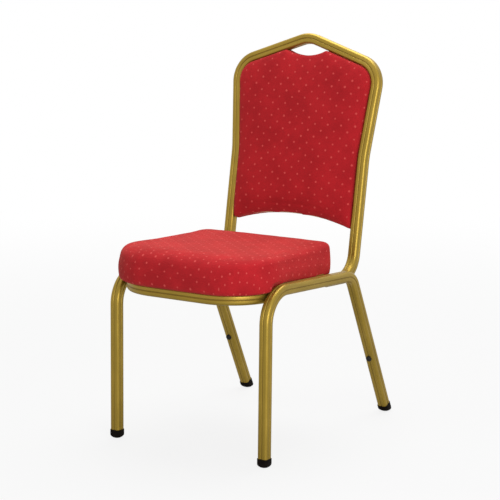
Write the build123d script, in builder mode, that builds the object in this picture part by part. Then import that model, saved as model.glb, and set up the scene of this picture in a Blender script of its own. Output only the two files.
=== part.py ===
"""Stacking chair: a bent square-tube frame with a padded seat and a padded crown back.

Millimetres. The origin is on the floor under the middle of the chair: +Z up, the sitter faces -Y
and +X is the sitter's left. Every frame tube has one section, a rounded square with a groove
along each face.
"""
from build123d import *
from math import atan2, cos, degrees, radians, sin, tan
import os

# Frame: driving sizes
frame_height = 925.0          # floor to the top of the crown
leg_spacing = 411.0           # between the side frames' middle planes
front_leg_y = -251.12         # front leg centreline at the floor
front_leg_rake = 1.1          # degrees, top towards the rear
rear_leg_y = 298.88           # rear leg centreline at the floor
rear_leg_rake = 25.9          # degrees, top towards the front
rail_height = 390.5           # side rail centreline above the front feet
rail_slope = 3.25             # degrees, falling to the rear
hoop_drop = 9.0               # the back hoop's ends below the side rails
back_corner_y = 168.28        # where the hoop's end and upright centrelines cross
back_lean = 10.05             # degrees, top towards the rear
flare_height = 640.0          # where the uprights start to spread
shoulder_spacing = 402.0      # between the centrelines where upright and crown cross
crown_pitch = 18.8            # degrees, slope of the crown on either side of the peak

# Frame: tube section and bends
tube = 25.0
tube_corner = 7.0
tube_wall = 2.2
groove_width = 3.0
groove_depth = 1.0
front_bend = 70.0
rear_bend = 45.0
hoop_bend = 59.0
flare_bend = 260.0
shoulder_bend = 60.0
peak_bend = 67.0
hoop_lap = 76.0               # straight length of hoop welded inside each side rail
end_cap_thickness = 2.0
front_rail_reach = 36.5       # front rail centreline ahead of the front legs
front_rail_drop = 19.0        # front rail centreline below the side rails' front
front_rail_bend = 105.0
front_rail_lap = 24.0         # straight length of front rail welded inside each side frame
peak_sleeve_length = 70.0
peak_sleeve_clearance = 1.4
sleeve_wall = 1.5
slip_clearance = 0.2

# Feet and bumpers
foot_width = 29.0
foot_corner = 8.5
foot_height = 18.0
foot_edge = 3.0
foot_plug_length = 22.0
bumper_height = 155.0
bumper_diameter = 14.0
bumper_thickness = 5.0
bumper_peg = 5.0
bumper_peg_length = 6.0

# Seat
seat_front_reach = 61.0       # front edge ahead of the front legs
seat_rear_reach = 328.0       # rear edge behind the front legs
seat_front_width = 428.0      # where the front and side edges would cross
seat_rear_width = 368.0
rear_rail_inset = 15.0        # rear cross rail centreline ahead of the seat's rear edge
seat_front_bow = 4.0
seat_front_corner = 115.0
seat_rear_corner = 28.0
seat_front_thickness = 62.0   # above the side rails, at the front edge
seat_rear_thickness = 70.0    # above the side rails, at the rear edge
seat_edge = 20.0
seat_lip_drop = 21.0          # how far the front lip hangs below the rails' tops
seat_lip_flat_end = -45.0     # the lip thins out between these two, behind the front legs
seat_lip_end = 58.0
seat_board_inset = 8.0
seat_board_thickness = 12.0
dust_cloth_thickness = 0.8
dust_cloth_inset = 46.0       # clear of the brackets
dust_cloth_margin = 4.0
cover_thickness = 1.2

# Seat fixings
bracket_length = 30.0
bracket_reach = 32.0
bracket_drop = 20.0
bracket_thickness = 3.0
bracket_front_setback = 125.0  # behind the front legs
bracket_rear_inset = 73.0     # ahead of the seat's rear edge
bolt_diameter = 6.0
bolt_clearance = 0.5
bolt_head_across = 10.0
bolt_head_height = 4.0
bolt_grip = 13.0              # shank length above the bracket
washer_diameter = 12.0
washer_thickness = 1.6
tee_nut_flange = 19.0
tee_nut_flange_thickness = 1.5
tee_nut_barrel = 8.0
tee_nut_depth = 9.0
staple_pitch = 42.0
staple_length = 10.0
staple_wire = 0.8
staple_inset = 1.6

# Back pad, measured through the pad from the hoop's middle plane, forwards
pad_gap = 1.5                 # between the pad and the tube
pad_front = 27.0
pad_back = -12.5
pad_edge = 11.0
pad_rear_edge = 2.5
back_board_back = -1.0
back_board_thickness = 9.0
back_panel_thickness = 3.0
pad_bottom_height = 465.0     # at the sides
pad_bottom_rise = 25.5        # arch of the lower edge
pad_top_height = 869.5        # floor of the hand-hold
handhold_width = 120.0
handhold_floor_width = 56.0
handhold_rise = 13.0
handhold_corner = 30.0
pad_bottom_corner = 8.0

# Back fixings
tab_heights = (545.0, 790.0)
tab_length = 34.0
tab_reach = 30.0
tab_thickness = 2.5
tab_weld_gap = 0.4
screw_offset = 18.0           # from the tube's face
screw_diameter = 5.0
screw_head_diameter = 9.5
screw_head_height = 3.0
screw_length = 11.0

half_tube = tube / 2
rail_half_spacing = leg_spacing / 2
lap_half_spacing = rail_half_spacing - tube
upright_spacing = 2 * lap_half_spacing
rail_inner_face = rail_half_spacing - half_tube
across = Vector(1, 0, 0)
SIDES = {"left": 1, "right": -1}
rear_rail_setback = seat_rear_reach - rear_rail_inset
bracket_setbacks = (bracket_front_setback, seat_rear_reach - bracket_rear_inset)


def rail_centre_height(setback):
    """Height of the side rail centrelines at a distance behind the front legs."""
    return rail_height - tan(radians(rail_slope)) * setback


def tube_profile(plane, outer=tube, wall=tube_wall, corner=tube_corner, grooved=True):
    """The square tube's section: rounded corners, a groove in each face and a hollow middle."""
    groove_radius = (groove_width ** 2 / 4 + groove_depth ** 2) / (2 * groove_depth)
    groove_centre = outer / 2 + groove_radius - groove_depth
    with BuildSketch(plane) as profile:
        RectangleRounded(outer, outer, corner)
        if grooved:
            with PolarLocations(groove_centre, 4):
                Circle(groove_radius, mode=Mode.SUBTRACT)
        RectangleRounded(outer - 2 * wall, outer - 2 * wall, corner - wall, mode=Mode.SUBTRACT)
    return profile.sketch


def save(piece, label):
    """Name a finished piece and write it as its own STEP file."""
    piece.part.label = label
    export_step(piece.part, f"parts/{label}.step")


# Planes that the seat and the back are built on
rail_top = half_tube / cos(radians(rail_slope))
seat_plane = Plane(
    origin=(0, front_leg_y, rail_height + rail_top),
    x_dir=(1, 0, 0),
    z_dir=(0, sin(radians(rail_slope)), cos(radians(rail_slope))),
)
seat_side_plane = Plane(origin=seat_plane.origin, x_dir=seat_plane.y_dir, z_dir=(1, 0, 0))
back_corner_height = rail_centre_height(back_corner_y - front_leg_y) - hoop_drop
back_plane = Plane(
    origin=(0, back_corner_y, back_corner_height),
    x_dir=(1, 0, 0),
    z_dir=(0, -cos(radians(back_lean)), sin(radians(back_lean))),
)


def up_back(height):
    """Distance up the back plane of a height above the floor."""
    return (height - back_corner_height) / cos(radians(back_lean))


def on_back(x, up, forward=0.0):
    """A point given across, up and forwards of the back plane."""
    return back_plane.from_local_coords(Vector(x, up, forward))


# The hoop's centreline corners, across and up the back plane
crown_drop = tan(radians(crown_pitch))
leaning_half_height = (half_tube - tube_corner) * (1 + tan(radians(back_lean)))
crown_top = leaning_half_height + tube_corner / cos(radians(back_lean))
peak_up = up_back(frame_height) - crown_top
peak_corner_up = peak_up + peak_bend * (1 / cos(radians(crown_pitch)) - 1)
shoulder_up = peak_corner_up - crown_drop * shoulder_spacing / 2
flare_up = up_back(flare_height)


# The side frames: front leg, side rail and rear leg in one upright plane
front_run = tan(radians(front_leg_rake))
rear_run = tan(radians(rear_leg_rake))
rail_fall = tan(radians(rail_slope))
knee_height = rail_height / (1 + rail_fall * front_run)
hip_height = rail_centre_height(rear_leg_y - front_leg_y) / (1 - rail_fall * rear_run)


def front_leg_point(side, height):
    """The front leg centreline at a height above the floor."""
    return Vector(side * rail_half_spacing, front_leg_y + front_run * height, height)


def rear_leg_point(side, height):
    """The rear leg centreline at a height above the floor."""
    return Vector(side * rail_half_spacing, rear_leg_y - rear_run * height, height)


def front_leg_frame(side, height):
    """The front leg's section plane at a height, with its z direction up the leg."""
    point = front_leg_point(side, height)
    return Plane(point, across, front_leg_point(side, knee_height) - point)


def rear_leg_frame(side, height):
    """The rear leg's section plane at a height, with its z direction up the leg."""
    point = rear_leg_point(side, height)
    return Plane(point, across, rear_leg_point(side, hip_height) - point)


def side_frame(side):
    """Front leg, side rail and rear leg, bent from one tube, with the hole for the bumper's peg."""
    start = front_leg_frame(side, foot_height)
    with BuildLine() as path:
        FilletPolyline(
            start.origin, front_leg_point(side, knee_height), rear_leg_point(side, hip_height),
            rear_leg_point(side, foot_height),
            radius=[front_bend, rear_bend],
        )
    with BuildPart() as bent_tube:
        add(sweep(sections=tube_profile(start), path=path.wire(), mode=Mode.PRIVATE))
        with BuildSketch(bumper_plane(side)):
            Circle(bumper_peg / 2)
        extrude(amount=-half_tube, mode=Mode.SUBTRACT)
    return bent_tube


def lap_point(side, setback):
    """The centreline of a hoop end, against the inside of a side rail."""
    height = rail_centre_height(setback) - hoop_drop
    return Vector(side * lap_half_spacing, front_leg_y + setback, height)


heel_setback = back_corner_y - front_leg_y
heel_turn = 90 - back_lean + rail_slope
lap_start = heel_setback - hoop_bend * tan(radians(heel_turn) / 2) - hoop_lap


def hoop_end_frame(side):
    """The section plane of a hoop end's front face, with its z direction along the hoop."""
    start = lap_point(side, lap_start)
    return Plane(start, across, lap_point(side, heel_setback) - start)


def back_tube(side):
    """Hoop end, upright and half of the crown, bent from one tube."""
    start = hoop_end_frame(side)
    flare = on_back(side * upright_spacing / 2, flare_up)
    shoulder = on_back(side * shoulder_spacing / 2, shoulder_up)
    pitch = radians(crown_pitch)
    crown_end = on_back(side * peak_bend * sin(pitch), peak_up - peak_bend * (1 - cos(pitch)))
    arc_middle = on_back(
        side * peak_bend * sin(pitch / 2), peak_up - peak_bend * (1 - cos(pitch / 2))
    )
    peak = on_back(0, peak_up)
    with BuildLine() as path:
        FilletPolyline(
            start.origin, lap_point(side, heel_setback), flare, shoulder, crown_end,
            radius=[hoop_bend, flare_bend, shoulder_bend],
        )
        ThreePointArc(crown_end, arc_middle, peak)
    with BuildPart() as bent_tube:
        add(sweep(sections=tube_profile(start), path=path.wire(), mode=Mode.PRIVATE))
    return bent_tube


def bumper_plane(side):
    """The middle of a rear leg's front face, at the bumper, facing out of the leg."""
    frame = rear_leg_frame(side, bumper_height)
    outward = frame.y_dir if frame.y_dir.Y < 0 else -frame.y_dir
    return Plane(frame.origin + outward * half_tube, frame.x_dir, outward)


def bumper(side):
    """A rubber button that keeps a stacked chair off the leg."""
    face = bumper_plane(side)
    with BuildPart() as button:
        with BuildSketch(face):
            Circle(bumper_diameter / 2)
        extrude(amount=bumper_thickness)
        fillet(button.faces().sort_by(Axis(face.origin, face.z_dir))[-1].edges(), bumper_thickness / 2)
        with BuildSketch(face):
            Circle(bumper_peg / 2)
        extrude(amount=-bumper_peg_length)
    return button


def foot(frame):
    """A plastic foot: a head under the tube, cut flat at the floor, and a plug inside the tube."""
    plug_width = tube - 2 * tube_wall - 2 * slip_clearance
    plug_corner = tube_corner - tube_wall - slip_clearance
    with BuildPart() as cap:
        with BuildSketch(frame):
            RectangleRounded(foot_width, foot_width, foot_corner)
        extrude(amount=-foot_height - foot_width)
        split(bisect_by=Plane.XY, keep=Keep.TOP)
        fillet(cap.faces().sort_by(Axis.Z)[0].edges(), foot_edge)
        with BuildSketch(frame):
            RectangleRounded(plug_width, plug_width, plug_corner)
        extrude(amount=foot_plug_length)
    return cap


def front_rail():
    """The front rail: it runs ahead of the legs and bends back to lie inside the side frames."""
    front = front_leg_y - front_rail_reach
    rear = front + front_rail_bend + front_rail_lap
    height = rail_height - front_rail_drop
    half = lap_half_spacing
    with BuildLine() as path:
        FilletPolyline(
            (-half, rear, height), (-half, front, height), (half, front, height), (half, rear, height),
            radius=front_rail_bend,
        )
    section = tube_profile(Plane((-half, rear, height), across, (0, -1, 0)))
    with BuildPart() as rail:
        add(sweep(sections=section, path=path.wire(), mode=Mode.PRIVATE))
    return rail


def rear_rail():
    """The straight rail between the hoop's ends, level with the side rails."""
    reach = lap_half_spacing - half_tube
    middle_y = front_leg_y + rear_rail_setback
    start = Plane((-reach, middle_y, rail_centre_height(rear_rail_setback)), seat_plane.z_dir, across)
    with BuildPart() as rail:
        extrude(tube_profile(start), amount=2 * reach)
    return rail


# Seat: every solid is built on the plane of the side rails' tops
def seat_outline(inset=0.0):
    """The seat's plan: tapered with the rails, bowed in front, round at the corners."""
    front = -seat_front_reach + inset
    corner_y = front + seat_front_bow
    rear = seat_rear_reach - inset
    front_half = seat_front_width / 2 - inset
    rear_half = seat_rear_width / 2 - inset
    with BuildSketch() as outline:
        with BuildLine():
            Polyline((front_half, corner_y), (rear_half, rear), (-rear_half, rear), (-front_half, corner_y))
            ThreePointArc((-front_half, corner_y), (0, front), (front_half, corner_y))
        make_face()
        fillet(outline.vertices().group_by(Axis.Y)[-1], seat_rear_corner - inset)
        fillet(outline.vertices().group_by(Axis.Y)[0], seat_front_corner - inset)
    return outline.sketch


def seat_block(inset):
    """The cushion's solid: thicker to the rear, with a lip in front that thins out to the rear."""
    drop = seat_lip_drop - inset
    lip_end = seat_lip_end - inset * (seat_lip_end - seat_lip_flat_end) / seat_lip_drop
    front, rear = -seat_front_reach, seat_rear_reach
    with BuildPart() as block:
        with BuildSketch(seat_plane.offset(-drop)):
            add(seat_outline(inset))
        extrude(amount=drop + seat_rear_thickness)
        with BuildSketch(seat_side_plane):
            Polygon(
                (front, -drop), (seat_lip_flat_end, -drop), (lip_end, 0), (rear, 0),
                (rear, seat_rear_thickness - inset), (front, seat_front_thickness - inset),
                align=None,
            )
        extrude(amount=leg_spacing, both=True, mode=Mode.INTERSECT)
        top_face = block.faces().sort_by(Axis(seat_plane.origin, seat_plane.z_dir))[-1]
        fillet(top_face.edges(), seat_edge - inset)
    return block


def bracket_frame(side, setback):
    """On the seat plane at a side rail's inner face: x inwards, z up."""
    point = seat_plane.from_local_coords(Vector(side * rail_inner_face, setback, 0))
    return Plane(point, seat_plane.x_dir * -side, seat_plane.z_dir)


bracket_frames = [bracket_frame(side, setback) for side in SIDES.values() for setback in bracket_setbacks]
bolt_offset = (bracket_reach + bracket_thickness) / 2


# Back pad: every solid is built on the plane through the middle of the hoop
def pad_outline(inset=0.0):
    """The pad's face: the inside of the hoop, less the gap, the lower arch and the hand-hold."""
    half_low = upright_spacing / 2
    low = up_back(pad_bottom_height) + inset
    floor = up_back(pad_top_height) - inset
    rim = floor + handhold_rise
    floor_half = handhold_floor_width / 2
    open_half = handhold_width / 2 + inset
    clear_top = peak_corner_up + tube
    with BuildSketch() as outline:
        Polygon(
            (-half_low, 0), (half_low, 0), (half_low, flare_up), (shoulder_spacing / 2, shoulder_up),
            (0, peak_corner_up), (-shoulder_spacing / 2, shoulder_up), (-half_low, flare_up),
            align=None,
        )
        fillet([v for v in outline.vertices() if abs(v.Y - shoulder_up) < 1], shoulder_bend)
        fillet([v for v in outline.vertices() if abs(v.Y - flare_up) < 1], flare_bend)
        offset(amount=-(half_tube + pad_gap + inset), kind=Kind.INTERSECTION)
        with BuildSketch(mode=Mode.SUBTRACT):
            with BuildLine():
                arch = ThreePointArc((-half_low, low), (0, low + pad_bottom_rise), (half_low, low))
                Polyline(arch @ 1, (half_low, -tube), (-half_low, -tube), arch @ 0)
            make_face()
        with BuildSketch(mode=Mode.SUBTRACT) as handhold:
            Polygon(
                (-floor_half, floor), (floor_half, floor), (open_half, rim), (open_half, clear_top),
                (-open_half, clear_top), (-open_half, rim),
                align=None,
            )
            fillet([v for v in handhold.vertices() if abs(v.Y - floor) < 1], handhold_corner)
        lowest = outline.vertices().sort_by(Axis.Y)
        fillet(lowest[:2], pad_bottom_corner)
    return outline.sketch


def pad_block(inset, back, front, edge):
    """A slab of the pad between two depths, rounded at its outer face."""
    face = back_plane.offset(back)
    with BuildPart() as block:
        with BuildSketch(face):
            add(pad_outline(inset))
        extrude(amount=front - back)
        if edge > 0:
            outward = face.z_dir if front > back else -face.z_dir
            outer = block.faces().sort_by(Axis(face.origin, outward))[-1]
            fillet(outer.edges(), edge)
    return block


back_board_front = back_board_back + back_board_thickness
tab_front = back_board_back
tab_back = tab_front - tab_thickness
panel_back = pad_back + cover_thickness


def hoop_inner_half(height):
    """Half the clear width between the uprights at a height above the floor."""
    flare = (shoulder_spacing - upright_spacing) / 2 / (shoulder_up - flare_up)
    spread = flare * max(up_back(height) - flare_up, 0)
    return upright_spacing / 2 + spread - half_tube / cos(atan2(flare, 1) if spread > 0 else 0)


def tab_frame(side, height, depth):
    """Beside an upright at a depth from the back plane: x inwards, square to the tube, z forwards."""
    origin = on_back(side * (hoop_inner_half(height) - tab_weld_gap), up_back(height), depth)
    below = height - tab_length / 2
    along = origin - on_back(side * (hoop_inner_half(below) - tab_weld_gap), up_back(below), depth)
    return Plane(origin, along.cross(back_plane.z_dir) * -side, back_plane.z_dir)


def screw_frames(depth):
    """The back screws' axes, facing forwards."""
    frames = [tab_frame(side, height, depth) for side in SIDES.values() for height in tab_heights]
    return [Plane(f.from_local_coords(Vector(screw_offset, 0, 0)), f.x_dir, f.z_dir) for f in frames]


def bars(frames, diameter, amount):
    """Round bars of one size that start on a set of planes."""
    with BuildPart() as rods:
        for frame in frames:
            with BuildSketch(frame):
                Circle(diameter / 2)
            extrude(amount=amount)
    return rods.part


def seat_bolt_frames(height):
    """The seat bolts' axes at a height above the seat's underside, facing up."""
    return [
        Plane(f.from_local_coords(Vector(bolt_offset, 0, height)), f.x_dir, f.z_dir) for f in bracket_frames
    ]


os.makedirs("parts", exist_ok=True)

# Frame tubes, and the plates that close the hoop's ends
for name, side in SIDES.items():
    save(side_frame(side), f"side_frame_{name}")
    save(back_tube(side), f"back_tube_{name}")
with BuildPart() as hoop_end_caps:
    for side in SIDES.values():
        with BuildSketch(hoop_end_frame(side)):
            RectangleRounded(tube, tube, tube_corner)
        extrude(amount=-end_cap_thickness)
save(hoop_end_caps, "hoop_end_caps")
save(front_rail(), "front_cross_rail")
save(rear_rail(), "rear_cross_rail")

# A sleeve inside the peak, where the two side tubes are welded together
sleeve_width = tube - 2 * tube_wall - 2 * peak_sleeve_clearance
with BuildLine() as sleeve_path:
    sleeve_turn = degrees(peak_sleeve_length / 2 / peak_bend)
    reach = peak_bend * sin(radians(sleeve_turn))
    drop = peak_bend * (1 - cos(radians(sleeve_turn)))
    ThreePointArc(on_back(-reach, peak_up - drop), on_back(0, peak_up), on_back(reach, peak_up - drop))
with BuildPart() as peak_sleeve:
    sleeve_wire = sleeve_path.wire()
    sleeve_start = Plane(sleeve_wire @ 0, back_plane.z_dir, sleeve_wire % 0)
    sleeve_corner = tube_corner - tube_wall - peak_sleeve_clearance
    add(sweep(sections=tube_profile(sleeve_start, sleeve_width, sleeve_wall, sleeve_corner, grooved=False),
              path=sleeve_wire, mode=Mode.PRIVATE))
save(peak_sleeve, "peak_sleeve")

# Feet and stacking bumpers
for name, side in SIDES.items():
    save(foot(front_leg_frame(side, foot_height)), f"front_foot_{name}")
    save(foot(rear_leg_frame(side, foot_height)), f"rear_foot_{name}")
    save(bumper(side), f"stacking_bumper_{name}")

# Seat brackets, one node: four angles welded to the side rails
bracket_holes = bars(seat_bolt_frames(0), bolt_diameter + 2 * bolt_clearance, -bracket_thickness)
with BuildPart() as seat_brackets:
    for frame in bracket_frames:
        with BuildSketch(frame):
            with Locations((bracket_reach / 2, 0)):
                Rectangle(bracket_reach, bracket_length)
        extrude(amount=-bracket_thickness)
        with BuildSketch(frame):
            with Locations((bracket_thickness / 2, 0)):
                Rectangle(bracket_thickness, bracket_length)
        extrude(amount=-bracket_drop)
    add(bracket_holes, mode=Mode.SUBTRACT)
save(seat_brackets, "seat_brackets")

# Seat bolts, washers and tee nuts
bolt_seat = -bracket_thickness - washer_thickness
bolt_shanks = bars(seat_bolt_frames(bolt_seat), bolt_diameter, bolt_grip - bolt_seat)
with BuildPart() as seat_bolts:
    for frame in seat_bolt_frames(bolt_seat):
        with BuildSketch(frame):
            RegularPolygon(bolt_head_across / 2, 6, major_radius=False)
        extrude(amount=-bolt_head_height)
    add(bolt_shanks)
save(seat_bolts, "seat_bolts")
washer_holes = bars(seat_bolt_frames(bolt_seat), bolt_diameter + bolt_clearance, washer_thickness)
with BuildPart() as seat_washers:
    for frame in seat_bolt_frames(bolt_seat):
        with BuildSketch(frame):
            Circle(washer_diameter / 2)
        extrude(amount=washer_thickness)
    add(washer_holes, mode=Mode.SUBTRACT)
save(seat_washers, "seat_washers")
seat_flanges = bars(seat_bolt_frames(seat_board_thickness), tee_nut_flange, tee_nut_flange_thickness)
seat_barrels = bars(seat_bolt_frames(seat_board_thickness), tee_nut_barrel, -tee_nut_depth)
seat_barrel_holes = bars(seat_bolt_frames(0), tee_nut_barrel, seat_board_thickness)
seat_threads = bars(seat_bolt_frames(0), bolt_diameter, seat_board_thickness + tee_nut_flange_thickness)
with BuildPart() as seat_tee_nuts:
    add(seat_flanges)
    add(seat_barrels)
    add(seat_threads, mode=Mode.SUBTRACT)
save(seat_tee_nuts, "seat_tee_nuts")

# Seat board, foam, cover and the cloth under them
seat_outer = seat_block(0)
seat_inner = seat_block(cover_thickness)
with BuildPart() as seat_board:
    with BuildSketch(seat_plane):
        add(seat_outline(seat_board_inset))
    extrude(amount=seat_board_thickness)
    add(seat_barrel_holes, mode=Mode.SUBTRACT)
save(seat_board, "seat_board")
with BuildPart() as seat_foam:
    add(seat_inner.part)
    with BuildSketch(seat_plane):
        add(seat_outline(seat_board_inset))
    extrude(amount=seat_board_thickness, mode=Mode.SUBTRACT)
    add(seat_barrel_holes, mode=Mode.SUBTRACT)
    add(seat_flanges, mode=Mode.SUBTRACT)
save(seat_foam, "seat_foam")
with BuildPart() as seat_cover:
    add(seat_outer.part)
    add(seat_inner.part, mode=Mode.SUBTRACT)
save(seat_cover, "seat_cover")
cloth_front = seat_lip_end + dust_cloth_margin
cloth_rear = rear_rail_setback - half_tube - dust_cloth_margin
cloth_width = 2 * (rail_inner_face - dust_cloth_inset)
cloth_length = cloth_rear - cloth_front
cloth_middle = (cloth_front + cloth_rear) / 2
with BuildPart() as seat_dust_cloth:
    with BuildSketch(seat_plane):
        with Locations((0, cloth_middle)):
            RectangleRounded(cloth_width, cloth_length, seat_rear_corner)
    extrude(amount=-dust_cloth_thickness)
save(seat_dust_cloth, "seat_dust_cloth")
side_count = int(cloth_length // staple_pitch) - 1
end_count = int(cloth_width // staple_pitch) - 1
with BuildPart() as seat_staples:
    with BuildSketch(seat_plane.offset(-dust_cloth_thickness)):
        with Locations((0, cloth_middle)):
            with GridLocations(cloth_width - 2 * staple_inset, staple_pitch, 2, side_count):
                Rectangle(staple_wire, staple_length)
            with GridLocations(staple_pitch, cloth_length - 2 * staple_inset, end_count, 2):
                Rectangle(staple_length, staple_wire)
    extrude(amount=-staple_wire)
save(seat_staples, "seat_staples")

# Back tabs, screws and tee nuts
tab_holes = bars(screw_frames(tab_back), screw_diameter + 2 * bolt_clearance, tab_thickness)
with BuildPart() as back_tabs:
    for side in SIDES.values():
        for height in tab_heights:
            with BuildSketch(tab_frame(side, height, tab_back)):
                with Locations((tab_reach / 2, 0)):
                    Rectangle(tab_reach, tab_length)
            extrude(amount=tab_thickness)
    add(tab_holes, mode=Mode.SUBTRACT)
save(back_tabs, "back_tabs")
with BuildPart() as back_screws:
    add(bars(screw_frames(tab_back), screw_head_diameter, -screw_head_height))
    add(bars(screw_frames(tab_back), screw_diameter, screw_length))
save(back_screws, "back_screws")
back_flanges = bars(screw_frames(back_board_front), tee_nut_flange, tee_nut_flange_thickness)
back_barrels = bars(screw_frames(back_board_front), tee_nut_barrel, tab_thickness - back_board_thickness)
back_thread_length = back_board_thickness + tee_nut_flange_thickness
back_threads = bars(screw_frames(back_board_back), screw_diameter, back_thread_length)
with BuildPart() as back_tee_nuts:
    add(back_flanges)
    add(back_barrels)
    add(back_threads, mode=Mode.SUBTRACT)
save(back_tee_nuts, "back_tee_nuts")

# Back board, foam, front cover, rear panel and its cover
foam_front = pad_front - cover_thickness
board_slab = pad_block(cover_thickness, back_board_back, back_board_front, 0)
board_holes = bars(screw_frames(back_board_back), tee_nut_barrel, back_board_thickness)
foam_slab = pad_block(cover_thickness, back_board_front, foam_front, pad_edge - cover_thickness)
cover_outside = pad_block(0, back_board_back, pad_front, pad_edge)
cover_inside = pad_block(cover_thickness, back_board_back, foam_front, pad_edge - cover_thickness)
panel_slab = pad_block(cover_thickness, panel_back, panel_back + back_panel_thickness, 0)
rear_outside = pad_block(0, back_board_back, pad_back, pad_rear_edge)
rear_inside = pad_block(cover_thickness, back_board_back, panel_back, 0)
with BuildPart() as back_board:
    add(board_slab.part)
    add(board_holes, mode=Mode.SUBTRACT)
save(back_board, "back_board")
with BuildPart() as back_foam:
    add(foam_slab.part)
    add(back_flanges, mode=Mode.SUBTRACT)
save(back_foam, "back_foam")
with BuildPart() as back_cover:
    add(cover_outside.part)
    add(cover_inside.part, mode=Mode.SUBTRACT)
save(back_cover, "back_cover")
save(panel_slab, "back_rear_panel")
with BuildPart() as tab_slots:
    for side in SIDES.values():
        for height in tab_heights:
            with BuildSketch(tab_frame(side, height, tab_back - bolt_clearance)):
                Rectangle(tab_reach, tab_length + 2 * bolt_clearance)
            extrude(amount=tab_thickness + bolt_clearance)
with BuildPart() as back_rear_cover:
    add(rear_outside.part)
    add(rear_inside.part, mode=Mode.SUBTRACT)
    add(tab_slots.part, mode=Mode.SUBTRACT)
save(back_rear_cover, "back_rear_cover")
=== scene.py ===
"""Stacking chair: the looks of its tubes, cushions, feet and small parts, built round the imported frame.

Metres, in the frame's own axes: +Z up, the sitter faces -Y and +X is the sitter's left.
"""
from math import atan2, ceil, cos, pi, radians, sin, tan

import bpy
import numpy as np
from bpy.props import FloatProperty, FloatVectorProperty, PointerProperty
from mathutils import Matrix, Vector


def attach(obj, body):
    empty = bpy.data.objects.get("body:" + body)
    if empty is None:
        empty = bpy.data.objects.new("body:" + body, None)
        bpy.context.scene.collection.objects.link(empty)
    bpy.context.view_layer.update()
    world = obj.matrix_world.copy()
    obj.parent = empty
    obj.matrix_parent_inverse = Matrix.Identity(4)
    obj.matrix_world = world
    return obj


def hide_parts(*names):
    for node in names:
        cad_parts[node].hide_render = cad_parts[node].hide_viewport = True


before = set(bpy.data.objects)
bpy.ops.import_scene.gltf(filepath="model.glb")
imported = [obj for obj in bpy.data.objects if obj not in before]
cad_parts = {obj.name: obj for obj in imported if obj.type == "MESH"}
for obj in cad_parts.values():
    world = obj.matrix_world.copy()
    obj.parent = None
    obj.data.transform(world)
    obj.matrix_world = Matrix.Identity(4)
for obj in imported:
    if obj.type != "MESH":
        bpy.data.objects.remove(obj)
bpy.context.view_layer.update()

bl_info = {
    "name": "Stacking Chair",
    "version": (1, 0, 0),
    "blender": (4, 5, 0),
    "location": "3D View > Sidebar > Chair",
    "description": "Dresses a padded stacking chair: grooved gold tubes, dotted red cushions and feet",
    "category": "Add Mesh",
}

BODY = "root"

# The chair's lines, as its frame has them
FRAME_HEIGHT = 0.925
LEG_SPACING = 0.411
FRONT_LEG_Y = -0.25112
FRONT_LEG_RAKE = radians(1.1)
REAR_LEG_Y = 0.29888
REAR_LEG_RAKE = radians(25.9)
RAIL_HEIGHT = 0.3905
RAIL_SLOPE = radians(3.25)
HOOP_DROP = 0.009
BACK_CORNER_Y = 0.16828
BACK_LEAN = radians(10.05)
FLARE_HEIGHT = 0.640
SHOULDER_SPACING = 0.402
CROWN_PITCH = radians(18.8)
TUBE = 0.025
TUBE_CORNER = 0.007
FRONT_BEND, REAR_BEND = 0.070, 0.045
HOOP_BEND, FLARE_BEND, SHOULDER_BEND, PEAK_BEND = 0.059, 0.260, 0.060, 0.067
HOOP_LAP = 0.076
END_PLATE, END_PLATE_ROUNDING, END_PLATE_OVERLAP = 0.002, 0.0018, 0.0004
FRONT_RAIL_REACH, FRONT_RAIL_DROP = 0.0365, 0.019
FRONT_RAIL_BEND, FRONT_RAIL_LAP = 0.105, 0.024
REAR_RAIL_SETBACK = 0.313
FOOT_WIDTH, FOOT_CORNER, FOOT_HEIGHT, FOOT_EDGE = 0.028, 0.0085, 0.020, 0.008
FOOT_RIM, FOOT_LINE = 0.001, 0.0004
BUMPER_HEIGHT = 0.155
BRACKET_SETBACKS = (0.125, 0.255)
BRACKET_LENGTH, BRACKET_DROP = 0.030, 0.020
SEAT_FRONT, SEAT_REAR = -0.061, 0.328
SEAT_FRONT_HALF, SEAT_REAR_HALF = 0.214, 0.184
SEAT_FRONT_BOW, SEAT_FRONT_CORNER, SEAT_REAR_CORNER = 0.004, 0.115, 0.028
SEAT_LIP_END = 0.058
SEAT_SIDE_TUCK, SEAT_FRONT_TUCK, SEAT_BELLY = 0.005, 0.015, 0.002
SEAT_UNDERSIDE_INSET, SEAT_INNER_LEVEL = 0.030, 0.014
SEAT_CLOTH_EDGE = 0.024
DUST_CLOTH_INSET = 0.046
DUST_CLOTH_MARGIN = 0.004
STAPLE_PITCH = 0.042
PAD_PINCH = 0.0004
PAD_LAP = 0.0006              # the front pad past its outline and past the board's rear face
PAD_EDGE = 0.007
PAD_BACK, BOARD_BACK = -0.0138, -0.001
PAD_BOTTOM_HEIGHT, PAD_BOTTOM_RISE, PAD_TOP_HEIGHT = 0.462, 0.0275, 0.8703
HANDHOLD_RADIUS = 0.127
TAB_HEIGHTS, TAB_LENGTH, TAB_THICKNESS = (0.545, 0.790), 0.034, 0.0025

HALF_TUBE = TUBE / 2
RAIL_HALF = LEG_SPACING / 2
LAP_HALF = RAIL_HALF - TUBE
RAIL_INNER_FACE = RAIL_HALF - HALF_TUBE
UPRIGHT_SPACING = 2 * LAP_HALF
HEEL_SETBACK = BACK_CORNER_Y - FRONT_LEG_Y
ACROSS = np.array([1.0, 0.0, 0.0])
SIDES = {"left": 1, "right": -1}
MIRROR = np.array([-1.0, 1.0, 1.0])
SHARP_EDGE = radians(38)
STUFFING_STEPS, EVENING_ROUNDS = 20, 12
FLOOR_REACH = 30.0
WELD_STEP, WELD_RIPPLE = 0.0007, 0.0026
WELD_VALLEY = 0.0026          # a bead's middle, in from the tubes' shared face and from their tops
WELD_GAP = 0.0004             # a bead's middle, off the face it is laid along


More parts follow.
